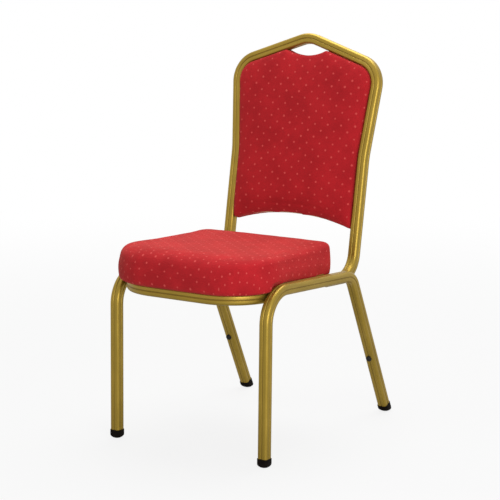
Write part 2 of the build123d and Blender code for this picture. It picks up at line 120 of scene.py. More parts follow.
class ChairTubeSettings(bpy.types.PropertyGroup):
    """Sizes of the tubes' surface."""

    groove_width: FloatProperty(
        name="Groove Width", description="Width of the groove along each face", default=0.0032, unit="LENGTH")
    groove_depth: FloatProperty(
        name="Groove Depth", description="Depth of the groove along each face", default=0.0011, unit="LENGTH")
    bend_step: FloatProperty(
        name="Bend Step", description="Largest turn between two rings of a bend", default=radians(4.0),
        subtype="ANGLE")
    weld_radius: FloatProperty(
        name="Weld Radius", description="Radius of the weld beads", default=0.0021, unit="LENGTH")


class ChairCushionSettings(bpy.types.PropertyGroup):
    """Sizes of the seat cushion and the back pad."""

    seat_crown: FloatProperty(
        name="Seat Crown", description="Fall of the seat's top from its middle to its sides", default=0.004,
        unit="LENGTH")
    seat_front_roll: FloatProperty(
        name="Seat Front Roll", description="Radius of the seat's front top edge", default=0.036,
        unit="LENGTH")
    seat_side_roll: FloatProperty(
        name="Seat Side Roll", description="Radius of the seat's side and rear top edges", default=0.013,
        unit="LENGTH")
    back_thickness: FloatProperty(
        name="Back Thickness", description="Depth of the back pad in front of the tubes' middle",
        default=0.026, unit="LENGTH")
    back_roll: FloatProperty(
        name="Back Roll", description="Height over which the back pad thins to its lower edge", default=0.060,
        unit="LENGTH")
    pressure: FloatProperty(
        name="Pressure", description="Pressure of the stuffing", default=4.0)
    seat_swell: FloatProperty(
        name="Seat Swell", description="How far stuffing may push the seat's cover", default=0.004,
        unit="LENGTH")
    back_swell: FloatProperty(
        name="Back Swell", description="How far stuffing may push the back's cover", default=0.003,
        unit="LENGTH")
    rear_swell: FloatProperty(
        name="Rear Swell", description="How far stuffing may push the rear panel's cover", default=0.0012,
        unit="LENGTH")
    cell: FloatProperty(
        name="Cell", description="Size of the cover's mesh cells", default=0.0042, unit="LENGTH")


class ChairFinishSettings(bpy.types.PropertyGroup):
    """Colours and pattern sizes."""

    gold: FloatVectorProperty(
        name="Gold", description="Colour of the tubes", default=(0.34, 0.225, 0.027), subtype="COLOR", size=3)
    worn_gold: FloatVectorProperty(
        name="Worn Gold", description="Colour of the tubes where they are rubbed", default=(0.47, 0.35, 0.13),
        subtype="COLOR", size=3)
    fabric: FloatVectorProperty(
        name="Fabric", description="Colour of the cushions' cloth", default=(0.42, 0.0125, 0.0180),
        subtype="COLOR", size=3)
    dots: FloatVectorProperty(
        name="Dots", description="Colour of the woven dots", default=(0.60, 0.070, 0.065),
        subtype="COLOR", size=3)
    plastic: FloatVectorProperty(
        name="Plastic", description="Colour of the feet", default=(0.005, 0.0035, 0.0028),
        subtype="COLOR", size=3)
    rubber: FloatVectorProperty(
        name="Rubber", description="Colour of the bumpers", default=(0.012, 0.011, 0.010),
        subtype="COLOR", size=3)
    dot_pitch: FloatProperty(
        name="Dot Pitch", description="Distance between dots in a row", default=0.036, unit="LENGTH")
    dot_rows: FloatProperty(
        name="Dot Rows", description="Distance between two rows of dots", default=0.0154, unit="LENGTH")
    dot_size: FloatProperty(
        name="Dot Size", description="Width of a dot", default=0.0050, unit="LENGTH")
    thread: FloatProperty(
        name="Thread", description="Distance between two threads of the cloth", default=0.0011, unit="LENGTH")


class ChairStudioSettings(bpy.types.PropertyGroup):
    """The camera and the light."""

    azimuth: FloatProperty(
        name="Azimuth", description="Camera's turn from straight in front towards the sitter's left",
        default=radians(33.645), subtype="ANGLE")
    elevation: FloatProperty(
        name="Elevation", description="Camera's height angle", default=radians(10.083), subtype="ANGLE")
    distance: FloatProperty(
        name="Distance", description="Camera's distance from its target", default=3.94234, unit="LENGTH")
    target: FloatVectorProperty(
        name="Target", description="The point the camera looks at", default=(-0.09976, 0.15092, 0.3956),
        subtype="TRANSLATION", size=3)
    lens: FloatProperty(
        name="Lens", description="Focal length in millimetres on a 36 mm sensor", default=114.99)
    key: FloatProperty(
        name="Key", description="Power of the overhead lamp", default=72.0, unit="POWER")
    fill: FloatProperty(
        name="Fill", description="Power of the side lamp", default=40.0, unit="POWER")
    sky: FloatProperty(
        name="Sky", description="Strength of the light from all round", default=0.55)


# ---------------------------------------------------------------- lines and planes


def unit(vectors):
    """Each vector divided by its own length."""
    vectors = np.asarray(vectors, float)
    return vectors / np.linalg.norm(vectors, axis=-1, keepdims=True)


def rounded(distance, reach):
    """0 at an edge and 1 from a reach inwards, along a quarter circle between them."""
    return np.sqrt(1 - (1 - np.clip(distance / reach, 0, 1)) ** 2)


def smooth(value, low, high):
    """0 below low, 1 above high, and t*t*(3 - 2t) between them."""
    t = np.clip((value - low) / (high - low), 0, 1)
    return t * t * (3 - 2 * t)


def turned(vector, axis, angles):
    """A vector turned about a unit axis: v cos t + (k x v) sin t + k (k.v)(1 - cos t)."""
    c, s = np.cos(angles)[..., None], np.sin(angles)[..., None]
    return vector * c + np.cross(axis, vector) * s + axis * np.dot(axis, vector) * (1 - c)


def rail_centre_height(setback):
    """Height of the side rails' centrelines at a distance behind the front legs."""
    return RAIL_HEIGHT - tan(RAIL_SLOPE) * setback


class WorkPlane:
    """A flat face of the chair: an origin and three square axes, the last one out of the face."""

    def __init__(self, origin, across, up, out):
        self.origin = np.array(origin, float)
        self.axes = np.array([across, up, out], float)

    def place(self, x, y, z=0.0):
        """Points from distances along the three axes."""
        x, y, z = np.broadcast_arrays(np.asarray(x, float), y, z)
        return self.origin + np.stack([x, y, z], -1) @ self.axes

    def measure(self, points):
        """Distances of points along the three axes."""
        return (points - self.origin) @ self.axes.T


SEAT = WorkPlane(
    (0, FRONT_LEG_Y, RAIL_HEIGHT + HALF_TUBE / cos(RAIL_SLOPE)), (1, 0, 0),
    (0, cos(RAIL_SLOPE), -sin(RAIL_SLOPE)), (0, sin(RAIL_SLOPE), cos(RAIL_SLOPE)))
BACK_CORNER_HEIGHT = rail_centre_height(HEEL_SETBACK) - HOOP_DROP
BACK = WorkPlane(
    (0, BACK_CORNER_Y, BACK_CORNER_HEIGHT), (1, 0, 0),
    (0, sin(BACK_LEAN), cos(BACK_LEAN)), (0, -cos(BACK_LEAN), sin(BACK_LEAN)))


def up_back(height):
    """Distance up the back of a height above the floor."""
    return (height - BACK_CORNER_HEIGHT) / cos(BACK_LEAN)


CROWN_TOP = (HALF_TUBE - TUBE_CORNER) * (1 + tan(BACK_LEAN)) + TUBE_CORNER / cos(BACK_LEAN)
PEAK_UP = up_back(FRAME_HEIGHT) - CROWN_TOP
PEAK_CORNER_UP = PEAK_UP + PEAK_BEND * (1 / cos(CROWN_PITCH) - 1)
SHOULDER_UP = PEAK_CORNER_UP - tan(CROWN_PITCH) * SHOULDER_SPACING / 2
FLARE_UP = up_back(FLARE_HEIGHT)
KNEE_HEIGHT = RAIL_HEIGHT / (1 + tan(RAIL_SLOPE) * tan(FRONT_LEG_RAKE))
HIP_HEIGHT = rail_centre_height(REAR_LEG_Y - FRONT_LEG_Y) / (1 - tan(RAIL_SLOPE) * tan(REAR_LEG_RAKE))
LAP_START = HEEL_SETBACK - HOOP_BEND * tan((pi / 2 - BACK_LEAN + RAIL_SLOPE) / 2) - HOOP_LAP


class BentPath:
    """A line of straight runs and tangent arcs, with the directions of the section carried along it.

    At a corner with unit headings a before and b after and a turn t between them, the arc of radius r
    starts r tan(t/2) before the corner. With n the unit part of b square to a, its points are
    centre + r (a sin q - n cos q) and its headings a cos q + n sin q, for q from 0 to t.
    """

    def __init__(self, corners, radii, across, bend_step=radians(4), run_step=0.02):
        corners = np.asarray(corners, float)
        headings = unit(np.diff(corners, axis=0))
        across = unit(across)
        start = corners[0]
        points, tangents, sides, self.bends = [], [], [], []
        for corner, before, after, radius in zip(corners[1:], headings, headings[1:], radii):
            turn = np.arccos(np.clip(before @ after, -1, 1))
            arc_start = corner - before * radius * tan(turn / 2)
            count = max(1, ceil(np.linalg.norm(arc_start - start) / run_step))
            share = np.arange(count)[:, None] / count
            points.append(start + share * (arc_start - start))
            tangents.append(np.repeat(before[None], count, 0))
            sides.append(np.repeat(across[None], count, 0))
            inward = unit(after - before * (before @ after))
            axis = unit(np.cross(before, after))
            steps = 2 * max(2, ceil(turn / bend_step / 2))
            angle = (np.arange(steps) * turn / steps)[:, None]
            centre = arc_start + inward * radius
            first = sum(len(p) for p in points)
            points.append(centre + radius * (before * np.sin(angle) - inward * np.cos(angle)))
            tangents.append(before * np.cos(angle) + inward * np.sin(angle))
            sides.append(turned(across, axis, angle[:, 0]))
            self.bends.append((first, first + steps))
            across = turned(across, axis, np.array(turn))
            start = centre + radius * (before * sin(turn) - inward * cos(turn))
        count = max(1, ceil(np.linalg.norm(corners[-1] - start) / run_step))
        share = np.arange(count + 1)[:, None] / count
        points.append(start + share * (corners[-1] - start))
        tangents.append(np.repeat(headings[-1][None], count + 1, 0))
        sides.append(np.repeat(across[None], count + 1, 0))
        self.points = np.concatenate(points)
        self.tangents = np.concatenate(tangents)
        self.across = np.concatenate(sides)
        self.up = np.cross(self.tangents, self.across)
        self.length = run_length(self.points)


def run_length(points):
    """Distance along a line of points from its first one."""
    steps = np.linalg.norm(np.diff(points, axis=0), axis=-1)
    return np.concatenate([[0.0], np.cumsum(steps)])


# ---------------------------------------------------------------- surfaces and pieces


class Surface:
    """A grid of points, rows along and columns around, with its faces, cloth map and groove depth."""

    def __init__(self, rows, map_rows=None, groove=None, around=True, caps=True):
        count, columns = rows.shape[:2]
        i = np.arange(count - 1)[:, None]
        j = np.arange(columns if around else columns - 1)[None, :]
        a, b = i * columns + j, i * columns + (j + 1) % columns
        d, c = a + columns, b + columns
        self.points = rows.reshape(-1, 3)
        self.faces = np.stack([a, b, c, d], -1).reshape(-1, 4).tolist()
        if map_rows is None:
            self.map = np.zeros((len(self.faces) * 4, 2))
        else:
            m = np.stack([map_rows[i, j], map_rows[i, j + 1], map_rows[i + 1, j + 1], map_rows[i + 1, j]], -2)
            self.map = m.reshape(-1, 2)
        self.groove = np.zeros(len(self.points)) if groove is None else groove.reshape(-1)
        if around and caps:
            for cap in (list(range(columns))[::-1], list(range((count - 1) * columns, count * columns))):
                self.map = np.concatenate([self.map, np.zeros((columns, 2))])
                self.faces.append(cap)


def make_piece(name, surfaces, finish):
    """One mesh object from surfaces, smooth but for edges sharper than an angle, riding on the frame."""
    points = np.concatenate([s.points for s in surfaces])
    starts = np.cumsum([0] + [len(s.points) for s in surfaces])
    faces = [[v + start for v in face] for s, start in zip(surfaces, starts) for face in s.faces]
    mesh = bpy.data.meshes.new(name)
    mesh.from_pydata(points.tolist(), [], faces)
    mesh.uv_layers.new(name="run").data.foreach_set("uv", np.concatenate([s.map for s in surfaces]).ravel())
    mesh.attributes.new("groove", "FLOAT", "POINT").data.foreach_set(
        "value", np.concatenate([s.groove for s in surfaces]))
    mesh.validate()
    mesh.shade_smooth()
    mesh.set_sharp_from_angle(angle=SHARP_EDGE)
    mesh.materials.append(finish)
    piece = bpy.data.objects.new(name, mesh)
    bpy.context.scene.collection.objects.link(piece)
    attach(piece, BODY)
    return piece


def square_section(width, corner, groove_width=0.0, groove_depth=0.0, corner_points=6):
    """A rounded square's points, counter-clockwise, and how deep each lies in a groove, from 0 to 1.

    One quarter is the +x face, whose groove dips by depth (1 - (2y/width)^2), and the corner arc after
    it. The other quarters are the same one turned by right angles.
    """
    half, flat = width / 2, width / 2 - corner
    y = np.array([-flat, flat])
    dip = np.zeros(2)
    if groove_depth > 0:
        in_groove = np.linspace(-1, 1, 9)
        y = np.concatenate([[-flat], in_groove * groove_width / 2, [flat]])
        dip = np.concatenate([[0], 1 - in_groove ** 2, [0]])
    angle = np.linspace(0, pi / 2, corner_points + 2)[1:-1]
    quarter = np.concatenate([
        np.stack([half - dip * groove_depth, y], -1),
        flat + corner * np.stack([np.cos(angle), np.sin(angle)], -1)])
    depth = np.concatenate([dip, np.zeros(corner_points)])
    turns = [np.array([[c, s], [-s, c]]) for c, s in ((1, 0), (0, 1), (-1, 0), (0, -1))]
    return np.concatenate([quarter @ turn for turn in turns]), np.tile(depth, 4)


def tube_surface(points, across, up, section, depth):
    """The section carried along a line: point + across x + up y. The map is metres around and along."""
    rows = points[:, None] + across[:, None] * section[None, :, :1] + up[:, None] * section[None, :, 1:]
    around = run_length(np.concatenate([section, section[:1]]))
    along = run_length(points)
    map_rows = np.stack(np.broadcast_arrays(around[None, :], along[:, None]), -1)
    return Surface(rows, map_rows, np.broadcast_to(depth, rows.shape[:2]).copy())


def tube_section():
    """The grooved section that every tube of the chair has."""
    tubes = bpy.context.scene.chair_tubes
    return square_section(TUBE, TUBE_CORNER, tubes.groove_width, tubes.groove_depth)


def weld_surface(points, out):
    """A weld bead: a round bar along a line, its radius swelling by a seventh at every ripple."""
    out = np.broadcast_to(out, points.shape)
    length = run_length(points)
    count = max(8, ceil(length[-1] / WELD_STEP))
    at = np.linspace(0, length[-1], count)
    line, side = (np.stack([np.interp(at, length, a[:, k]) for k in range(3)], -1) for a in (points, out))
    tangent = unit(np.gradient(line, axis=0))
    side = unit(side - tangent * (side * tangent).sum(-1, keepdims=True))
    other = np.cross(tangent, side)
    swell = bpy.context.scene.chair_tubes.weld_radius * (1 + np.sin(2 * pi * at / WELD_RIPPLE) / 7)
    swell = swell * np.sqrt(np.clip(1 - np.abs(2 * at / length[-1] - 1) ** 16, 0.02, 1))
    angle = np.linspace(0, 2 * pi, 9)[:-1]
    rows = line[:, None] + swell[:, None, None] * (
        side[:, None] * np.cos(angle)[None, :, None] + other[:, None] * np.sin(angle)[None, :, None])
    return Surface(rows)


# ---------------------------------------------------------------- finishes


def wire(tree, socket, value):
    """Put a plain value on a socket, or link another socket to it."""
    if isinstance(value, bpy.types.NodeSocket):
        tree.links.new(value, socket)
    else:
        socket.default_value = value


def calc(tree, operation, first, second):
    """The result of a Math node."""
    node = tree.nodes.new("ShaderNodeMath")
    node.operation = operation
    wire(tree, node.inputs[0], first)
    wire(tree, node.inputs[1], second)
    return node.outputs[0]


def plus(tree, first, second):
    """The sum of two values."""
    return calc(tree, "ADD", first, second)


def times(tree, first, second):
    """The product of two values."""
    return calc(tree, "MULTIPLY", first, second)


def vector_calc(tree, operation, first, second=None):
    """The result of a Vector Math node."""
    node = tree.nodes.new("ShaderNodeVectorMath")
    node.operation = operation
    wire(tree, node.inputs[0], first)
    if second is not None:
        wire(tree, node.inputs[1], second)
    return node.outputs["Value" if operation == "LENGTH" else "Vector"]


def noise(tree, vector, scale, detail=3.0, roughness=0.55):
    """A noise value from 0 to 1."""
    node = tree.nodes.new("ShaderNodeTexNoise")
    wire(tree, node.inputs["Vector"], vector)
    wire(tree, node.inputs["Scale"], scale)
    node.inputs["Detail"].default_value = detail
    node.inputs["Roughness"].default_value = roughness
    return node.outputs["Fac"]


def ramp(tree, value, low, high, to_low=0.0, to_high=1.0):
    """A smooth step of a value from low to high."""
    node = tree.nodes.new("ShaderNodeMapRange")
    node.interpolation_type = "SMOOTHSTEP"
    for name, setting in (("Value", value), ("From Min", low), ("From Max", high), ("To Min", to_low),
                          ("To Max", to_high)):
        wire(tree, node.inputs[name], setting)
    return node.outputs["Result"]


def blend(tree, share, first, second, kind="MIX"):
    """A colour between two, or one multiplied into the other."""
    node = tree.nodes.new("ShaderNodeMix")
    node.data_type = "RGBA"
    node.blend_type = kind
    wire(tree, node.inputs[0], share)
    wire(tree, node.inputs[6], first)
    wire(tree, node.inputs[7], second)
    return node.outputs[2]


def tint(tree, colour, by):
    """A colour multiplied by another."""
    return blend(tree, 1.0, colour, by, "MULTIPLY")


def start_group(name, inputs, outputs):
    """An empty shader node group with named sockets."""
    group = bpy.data.node_groups.new(name, "ShaderNodeTree")
    kinds = {"vector": "NodeSocketVector", "colour": "NodeSocketColor", "value": "NodeSocketFloat"}
    for label, kind in inputs:
        group.interface.new_socket(label, in_out="INPUT", socket_type=kinds[kind])
    for label, kind in outputs:
        group.interface.new_socket(label, in_out="OUTPUT", socket_type=kinds[kind])
    return group, group.nodes.new("NodeGroupInput").outputs, group.nodes.new("NodeGroupOutput").inputs


OUTPUTS = (("Colour", "colour"), ("Roughness", "value"), ("Height", "value"))


def drawn_metal_group():
    """Drawn metal: streaks along the run, rubbed patches, painted shade darkening the grooves and fine
    pitting.
    """
    name = "drawn metal"
    if name in bpy.data.node_groups:
        return bpy.data.node_groups[name]
    group, given, put = start_group(name, (
        ("Vector", "vector"), ("Streaks", "vector"), ("Colour", "colour"), ("Worn Colour", "colour"),
        ("Groove", "value"), ("Wear", "value")), OUTPUTS)
    streak = noise(group, vector_calc(group, "MULTIPLY", given["Vector"], given["Streaks"]), 1.0, 4.0, 0.6)
    broad = noise(group, given["Vector"], 9.0, 2.0)
    speck = noise(group, given["Vector"], 420.0, 2.0, 0.7)
    patches = blend(group, ramp(group, broad, 0.3, 0.7), (0.90, 0.90, 0.88, 1), (1.06, 1.06, 1.08, 1))
    lines = blend(group, ramp(group, streak, 0.35, 0.75), (0.93, 0.93, 0.92, 1), (1.05, 1.05, 1.05, 1))
    shade = tint(group, tint(group, given["Colour"], patches), lines)
    spots = ramp(group, plus(group, streak, times(group, broad, 0.5)), 0.82, 1.02)
    shade = blend(group, times(group, spots, given["Wear"]), shade, given["Worn Colour"])
    # painted shade: the colour is darkened by the groove depth, in place of the shade that falls in the
    # grooves; the same share also raises their roughness
    groove_shade = times(group, given["Groove"], 0.62)
    groove_shade_colour = tint(group, shade, (0.42, 0.38, 0.28, 1))
    rough = plus(group, ramp(group, streak, 0.3, 0.8, 0.36, 0.48), times(group, groove_shade, 0.2))
    wire(group, put["Colour"], blend(group, groove_shade, shade, groove_shade_colour))
    wire(group, put["Roughness"], rough)
    wire(group, put["Height"], plus(group, times(group, streak, 0.5), times(group, speck, 0.5)))
    return group


def dotted_cloth_group():
    """Woven cloth with staggered dots.

    The map in metres is divided by the pattern's repeat, and the distance to the nearest point of two
    lattices, half a repeat apart, gives the dots. Noise frays their edges and makes them uneven. The
    product of a sine along each thread gives the weave.
    """
    name = "dotted cloth"
    if name in bpy.data.node_groups:
        return bpy.data.node_groups[name]
    group, given, put = start_group(name, (
        ("Map", "vector"), ("Repeat", "vector"), ("Colour", "colour"), ("Dot Colour", "colour"),
        ("Dot Size", "value"), ("Thread", "value")), OUTPUTS)
    flat = vector_calc(group, "MULTIPLY", given["Map"], (1, 1, 0))
    distances = []
    for shift in (0.5, 0.0):
        cell = vector_calc(group, "DIVIDE", flat, given["Repeat"])
        cell = vector_calc(group, "FRACTION", vector_calc(group, "ADD", cell, (shift, shift, 0.5)))
        offset = vector_calc(group, "SUBTRACT", cell, (0.5, 0.5, 0.5))
        offset = vector_calc(group, "MULTIPLY", offset, given["Repeat"])
        distances.append(vector_calc(group, "LENGTH", offset))
    distance = calc(group, "MINIMUM", *distances)
    for scale, detail, shift in ((1400.0, 2.0, 0.0022), (55.0, 1.0, 0.0030)):
        sway = calc(group, "SUBTRACT", noise(group, flat, scale, detail), 0.5)
        distance = plus(group, distance, times(group, sway, shift))
    inner, outer = (times(group, given["Dot Size"], share) for share in (0.30, 0.62))
    dot = calc(group, "SUBTRACT", 1.0, ramp(group, distance, inner, outer))
    turns = vector_calc(group, "SCALE", flat)
    wire(group, turns.node.inputs["Scale"], calc(group, "DIVIDE", 2 * pi, given["Thread"]))
    waves = group.nodes.new("ShaderNodeSeparateXYZ")
    wire(group, waves.inputs[0], vector_calc(group, "SINE", turns))
    weave = times(group, waves.outputs[0], waves.outputs[1])
    fuzz = noise(group, flat, 700.0, 3.0, 0.7)
    broad = noise(group, flat, 14.0, 3.0)
    patches = blend(group, ramp(group, broad, 0.25, 0.75), (0.86, 0.82, 0.84, 1), (1.10, 1.14, 1.12, 1))
    pile = ramp(group, plus(group, fuzz, times(group, weave, 0.18)), 0.25, 0.8)
    pile = blend(group, pile, (0.84, 0.84, 0.84, 1), (1.13, 1.13, 1.13, 1))
    shade = tint(group, tint(group, given["Colour"], patches), pile)
    raised = plus(group, times(group, dot, 0.55), times(group, fuzz, 0.35))
    wire(group, put["Colour"], blend(group, times(group, dot, 0.85), shade, given["Dot Colour"]))
    wire(group, put["Roughness"], calc(group, "SUBTRACT", 0.86, times(group, dot, 0.16)))
    wire(group, put["Height"], plus(group, times(group, weave, 0.30), raised))
    return group


def mottled_group():
    """A moulded or plated surface: two colours mixed by noise, with its own grain and roughness."""
    name = "mottled surface"
    if name in bpy.data.node_groups:
        return bpy.data.node_groups[name]
    group, given, put = start_group(name, (
        ("Vector", "vector"), ("Colour", "colour"), ("Second Colour", "colour"), ("Scale", "value"),
        ("Grain", "value"), ("Smooth Roughness", "value"), ("Rough Roughness", "value")), OUTPUTS)
    patches = noise(group, given["Vector"], given["Scale"], 4.0, 0.6)
    grain = noise(group, given["Vector"], given["Grain"], 2.0, 0.7)
    shade = blend(group, ramp(group, patches, 0.35, 0.72), given["Colour"], given["Second Colour"])
    rough = ramp(group, patches, 0.2, 0.8, given["Smooth Roughness"], given["Rough Roughness"])
    wire(group, put["Colour"], shade)
    wire(group, put["Roughness"], rough)
    wire(group, put["Height"], plus(group, times(group, grain, 0.7), times(group, patches, 0.3)))
    return group


def start_finish(name, metallic=0.0, **constants):
    """A material with one Principled shader whose plain settings are put on its own sockets."""
    finish = bpy.data.materials.new(name)
    finish.use_nodes = True
    shader = finish.node_tree.nodes["Principled BSDF"]
    shader.inputs["Metallic"].default_value = metallic
    for label, value in constants.items():
        shader.inputs[label.replace("_", " ").title().replace("Ior", "IOR")].default_value = value
    return finish, finish.node_tree, shader


def add_effect(tree, shader, group, bump, distance, **settings):
    """Place a group and feed its colour, roughness and height to the shader."""
    node = tree.nodes.new("ShaderNodeGroup")
    node.node_tree = group
    for label, value in settings.items():
        wire(tree, node.inputs[label.replace("_", " ").title()], value)
    raised = tree.nodes.new("ShaderNodeBump")
    raised.inputs["Strength"].default_value = bump
    raised.inputs["Distance"].default_value = distance
    tree.links.new(node.outputs["Height"], raised.inputs["Height"])
    tree.links.new(node.outputs["Colour"], shader.inputs["Base Color"])
    tree.links.new(node.outputs["Roughness"], shader.inputs["Roughness"])
    tree.links.new(raised.outputs["Normal"], shader.inputs["Normal"])
    return node


def object_place(tree):
    """The place on the piece, in metres."""
    return tree.nodes.new("ShaderNodeTexCoord").outputs["Object"]


def named_map(tree, name):
    """The piece's own map."""
    node = tree.nodes.new("ShaderNodeUVMap")
    node.uv_map = name
    return node.outputs["UV"]


def gold_finish(name, bump, streaks, wear, on_run):
    """Gold anodised metal, streaked along a tube's run or, on a plate, along the place on the piece."""
    if name in bpy.data.materials:
        return bpy.data.materials[name]
    look = bpy.context.scene.chair_finishes
    finish, tree, shader = start_finish(name, metallic=0.75, coat_weight=0.06, coat_roughness=0.25)
    if on_run:
        depth = tree.nodes.new("ShaderNodeAttribute")
        depth.attribute_name = "groove"
        vector, groove = named_map(tree, "run"), depth.outputs["Fac"]
    else:
        # plates have no grooves, so they take an even 0.12 share of the painted groove shade all over
        vector, groove = object_place(tree), 0.12
    add_effect(tree, shader, drawn_metal_group(), bump, 0.0004, vector=vector, streaks=streaks,
               colour=(*look.gold, 1), worn_colour=(*look.worn_gold, 1), groove=groove, wear=wear)
    return finish


def gold_tube_finish():
    """The tubes' gold, with painted shade in the grooves."""
    return gold_finish("gold tube", 0.10, (700.0, 9.0, 1.0), 0.35, True)


def gold_part_finish():
    """The same gold on welds and welded plates, which have no run of their own."""
    return gold_finish("gold plate", 0.12, (60.0, 300.0, 60.0), 0.4, False)


def red_cloth_finish():
    """Red woven cloth with staggered pale dots and a soft sheen."""
    name = "red dotted cloth"
    if name in bpy.data.materials:
        return bpy.data.materials[name]
    look = bpy.context.scene.chair_finishes
    finish, tree, shader = start_finish(
        name, sheen_weight=0.14, sheen_roughness=0.45, sheen_tint=(1.0, 0.42, 0.26, 1),
        specular_ior_level=0.12)
    add_effect(tree, shader, dotted_cloth_group(), 0.35, 0.0006, map=named_map(tree, "cloth"),
               repeat=(look.dot_pitch, 2 * look.dot_rows, 1.0), colour=(*look.fabric, 1),
               dot_colour=(*look.dots, 1), dot_size=look.dot_size, thread=look.thread)
    return finish


def mottled_finish(name, colour, second, scale, grain, smooth_roughness, rough_roughness, metallic=0.0,
                   bump=0.15, shine=0.5):
    """A moulded or plated finish on the place on the piece."""
    if name in bpy.data.materials:
        return bpy.data.materials[name]
    finish, tree, shader = start_finish(name, metallic=metallic, specular_ior_level=shine)
    add_effect(tree, shader, mottled_group(), bump, 0.0005, vector=object_place(tree), colour=(*colour, 1),
               second_colour=(*second, 1), scale=scale, grain=grain, smooth_roughness=smooth_roughness,
               rough_roughness=rough_roughness)
    return finish


def plastic_finish():
    """Black moulded plastic, scuffed grey."""
    colour = bpy.context.scene.chair_finishes.plastic
    return mottled_finish("black plastic", colour, [c * 1.9 for c in colour], 60.0, 900.0, 0.38, 0.55,
                          shine=0.03)


def rubber_finish():
    """Black rubber, matt, with a dusting on it."""
    colour = bpy.context.scene.chair_finishes.rubber
    return mottled_finish("black rubber", colour, [c * 2.0 for c in colour], 90.0, 1500.0, 0.65, 0.85,
                          shine=0.2)


def zinc_finish():
    """Zinc-plated steel with a faint crystal mottle."""
    return mottled_finish("zinc plate", (0.55, 0.56, 0.57), (0.40, 0.41, 0.43), 260.0, 1200.0, 0.28, 0.48,
                          metallic=1.0)


def bare_aluminium_finish():
    """Bare drawn aluminium."""
    return mottled_finish("bare aluminium", (0.62, 0.62, 0.61), (0.50, 0.50, 0.50), 120.0, 900.0, 0.32, 0.5,
                          metallic=1.0)


def dust_cloth_finish():
    """Black fleece: matt, with fine tangled fibres."""
    return mottled_finish("black fleece", (0.014, 0.014, 0.015), (0.045, 0.045, 0.047), 900.0, 1600.0, 0.85,
                          0.95, bump=0.5)


def plywood_finish():
    """Plywood: grain bands stretched along the board, and dark flecks."""
    name = "plywood"
    if name in bpy.data.materials:
        return bpy.data.materials[name]
    finish, tree, shader = start_finish(name)
    along = tree.nodes.new("ShaderNodeMapping")
    along.inputs["Scale"].default_value = (14.0, 1.6, 60.0)
    tree.links.new(object_place(tree), along.inputs["Vector"])
    add_effect(tree, shader, mottled_group(), 0.2, 0.0006, vector=along.outputs["Vector"],
               colour=(0.50, 0.33, 0.17, 1), second_colour=(0.33, 0.19, 0.085, 1), scale=3.0, grain=40.0,
               smooth_roughness=0.55, rough_roughness=0.75)
    return finish


# ---------------------------------------------------------------- tubes and welds


def front_leg_point(side, height):
    """The front leg's centreline at a height above the floor."""
    return np.array([side * RAIL_HALF, FRONT_LEG_Y + tan(FRONT_LEG_RAKE) * height, height])


def rear_leg_point(side, height):
    """The rear leg's centreline at a height above the floor."""
    return np.array([side * RAIL_HALF, REAR_LEG_Y - tan(REAR_LEG_RAKE) * height, height])


def leg_direction(leg_point, side):
    """The upward direction of a leg, given by its centreline."""
    return unit(leg_point(side, 1.0) - leg_point(side, 0.0))


def lap_point(side, setback):
    """The centreline of a hoop end, against the inside of a side rail."""
    return np.array([side * LAP_HALF, FRONT_LEG_Y + setback, rail_centre_height(setback) - HOOP_DROP])


def side_frame_path(side):
    """From the front foot up over the knee, along the side rail and down to the rear foot."""
    tucked = FOOT_HEIGHT - 0.001
    corners = [front_leg_point(side, tucked), front_leg_point(side, KNEE_HEIGHT),
               rear_leg_point(side, HIP_HEIGHT), rear_leg_point(side, tucked)]
    return BentPath(corners, (FRONT_BEND, REAR_BEND), ACROSS, bpy.context.scene.chair_tubes.bend_step)


def hoop_line():
    """One line from the left end over the crown to the right end, with the section's directions.

    The left half is a bent path. The right half is the left one reflected in x and run backwards.
    """
    corners = [lap_point(1, LAP_START), lap_point(1, HEEL_SETBACK), BACK.place(UPRIGHT_SPACING / 2, FLARE_UP),
               BACK.place(SHOULDER_SPACING / 2, SHOULDER_UP), BACK.place(0, PEAK_CORNER_UP),
               BACK.place(-SHOULDER_SPACING / 2, SHOULDER_UP)]
    path = BentPath(corners, (HOOP_BEND, FLARE_BEND, SHOULDER_BEND, PEAK_BEND), ACROSS,
                    bpy.context.scene.chair_tubes.bend_step)
    middle = sum(path.bends[3]) // 2
    return [np.concatenate([a[:middle + 1], a[:middle][::-1] * MIRROR])
            for a in (path.points, path.across, path.up)]


def front_rail_path():
    """The front rail: it runs ahead of the legs and bends back inside the side frames."""
    front = FRONT_LEG_Y - FRONT_RAIL_REACH
    rear = front + FRONT_RAIL_BEND + FRONT_RAIL_LAP
    height = RAIL_HEIGHT - FRONT_RAIL_DROP
    corners = [(-LAP_HALF, rear, height), (-LAP_HALF, front, height), (LAP_HALF, front, height),
               (LAP_HALF, rear, height)]
    return BentPath(corners, (FRONT_RAIL_BEND,) * 2, ACROSS, bpy.context.scene.chair_tubes.bend_step)


def rear_rail_line():
    """The straight rail between the hoop's ends, with the section's directions."""
    reach = LAP_HALF - HALF_TUBE + 0.0015
    x = np.linspace(-reach, reach, 17)
    middle = (0.0, FRONT_LEG_Y + REAR_RAIL_SETBACK, rail_centre_height(REAR_RAIL_SETBACK))
    points = np.array(middle) + x[:, None] * ACROSS
    across = np.repeat(SEAT.axes[2][None], len(x), 0)
    return points, across, np.cross(ACROSS, across)


def end_plate_rows(end, heading, across, up):
    """A plate on a tube's end: the section drawn in along a quarter circle as it leaves the tube.

    It starts a little inside the tube, so that no gap shows.
    """
    angle = np.linspace(0, pi / 2, 6)[::-1, None]
    plain = square_section(TUBE, TUBE_CORNER)[0]
    share = 1 - END_PLATE_ROUNDING / HALF_TUBE * (1 - np.cos(angle))
    start = end + heading * END_PLATE_OVERLAP
    centre = start - heading * (END_PLATE_OVERLAP + END_PLATE * np.sin(angle))
    rows = centre[:, None] + share[:, None] * (across * plain[None, :, :1] + up * plain[None, :, 1:])
    return np.concatenate([rows, start + (rows[-1:] - centre[-1])])


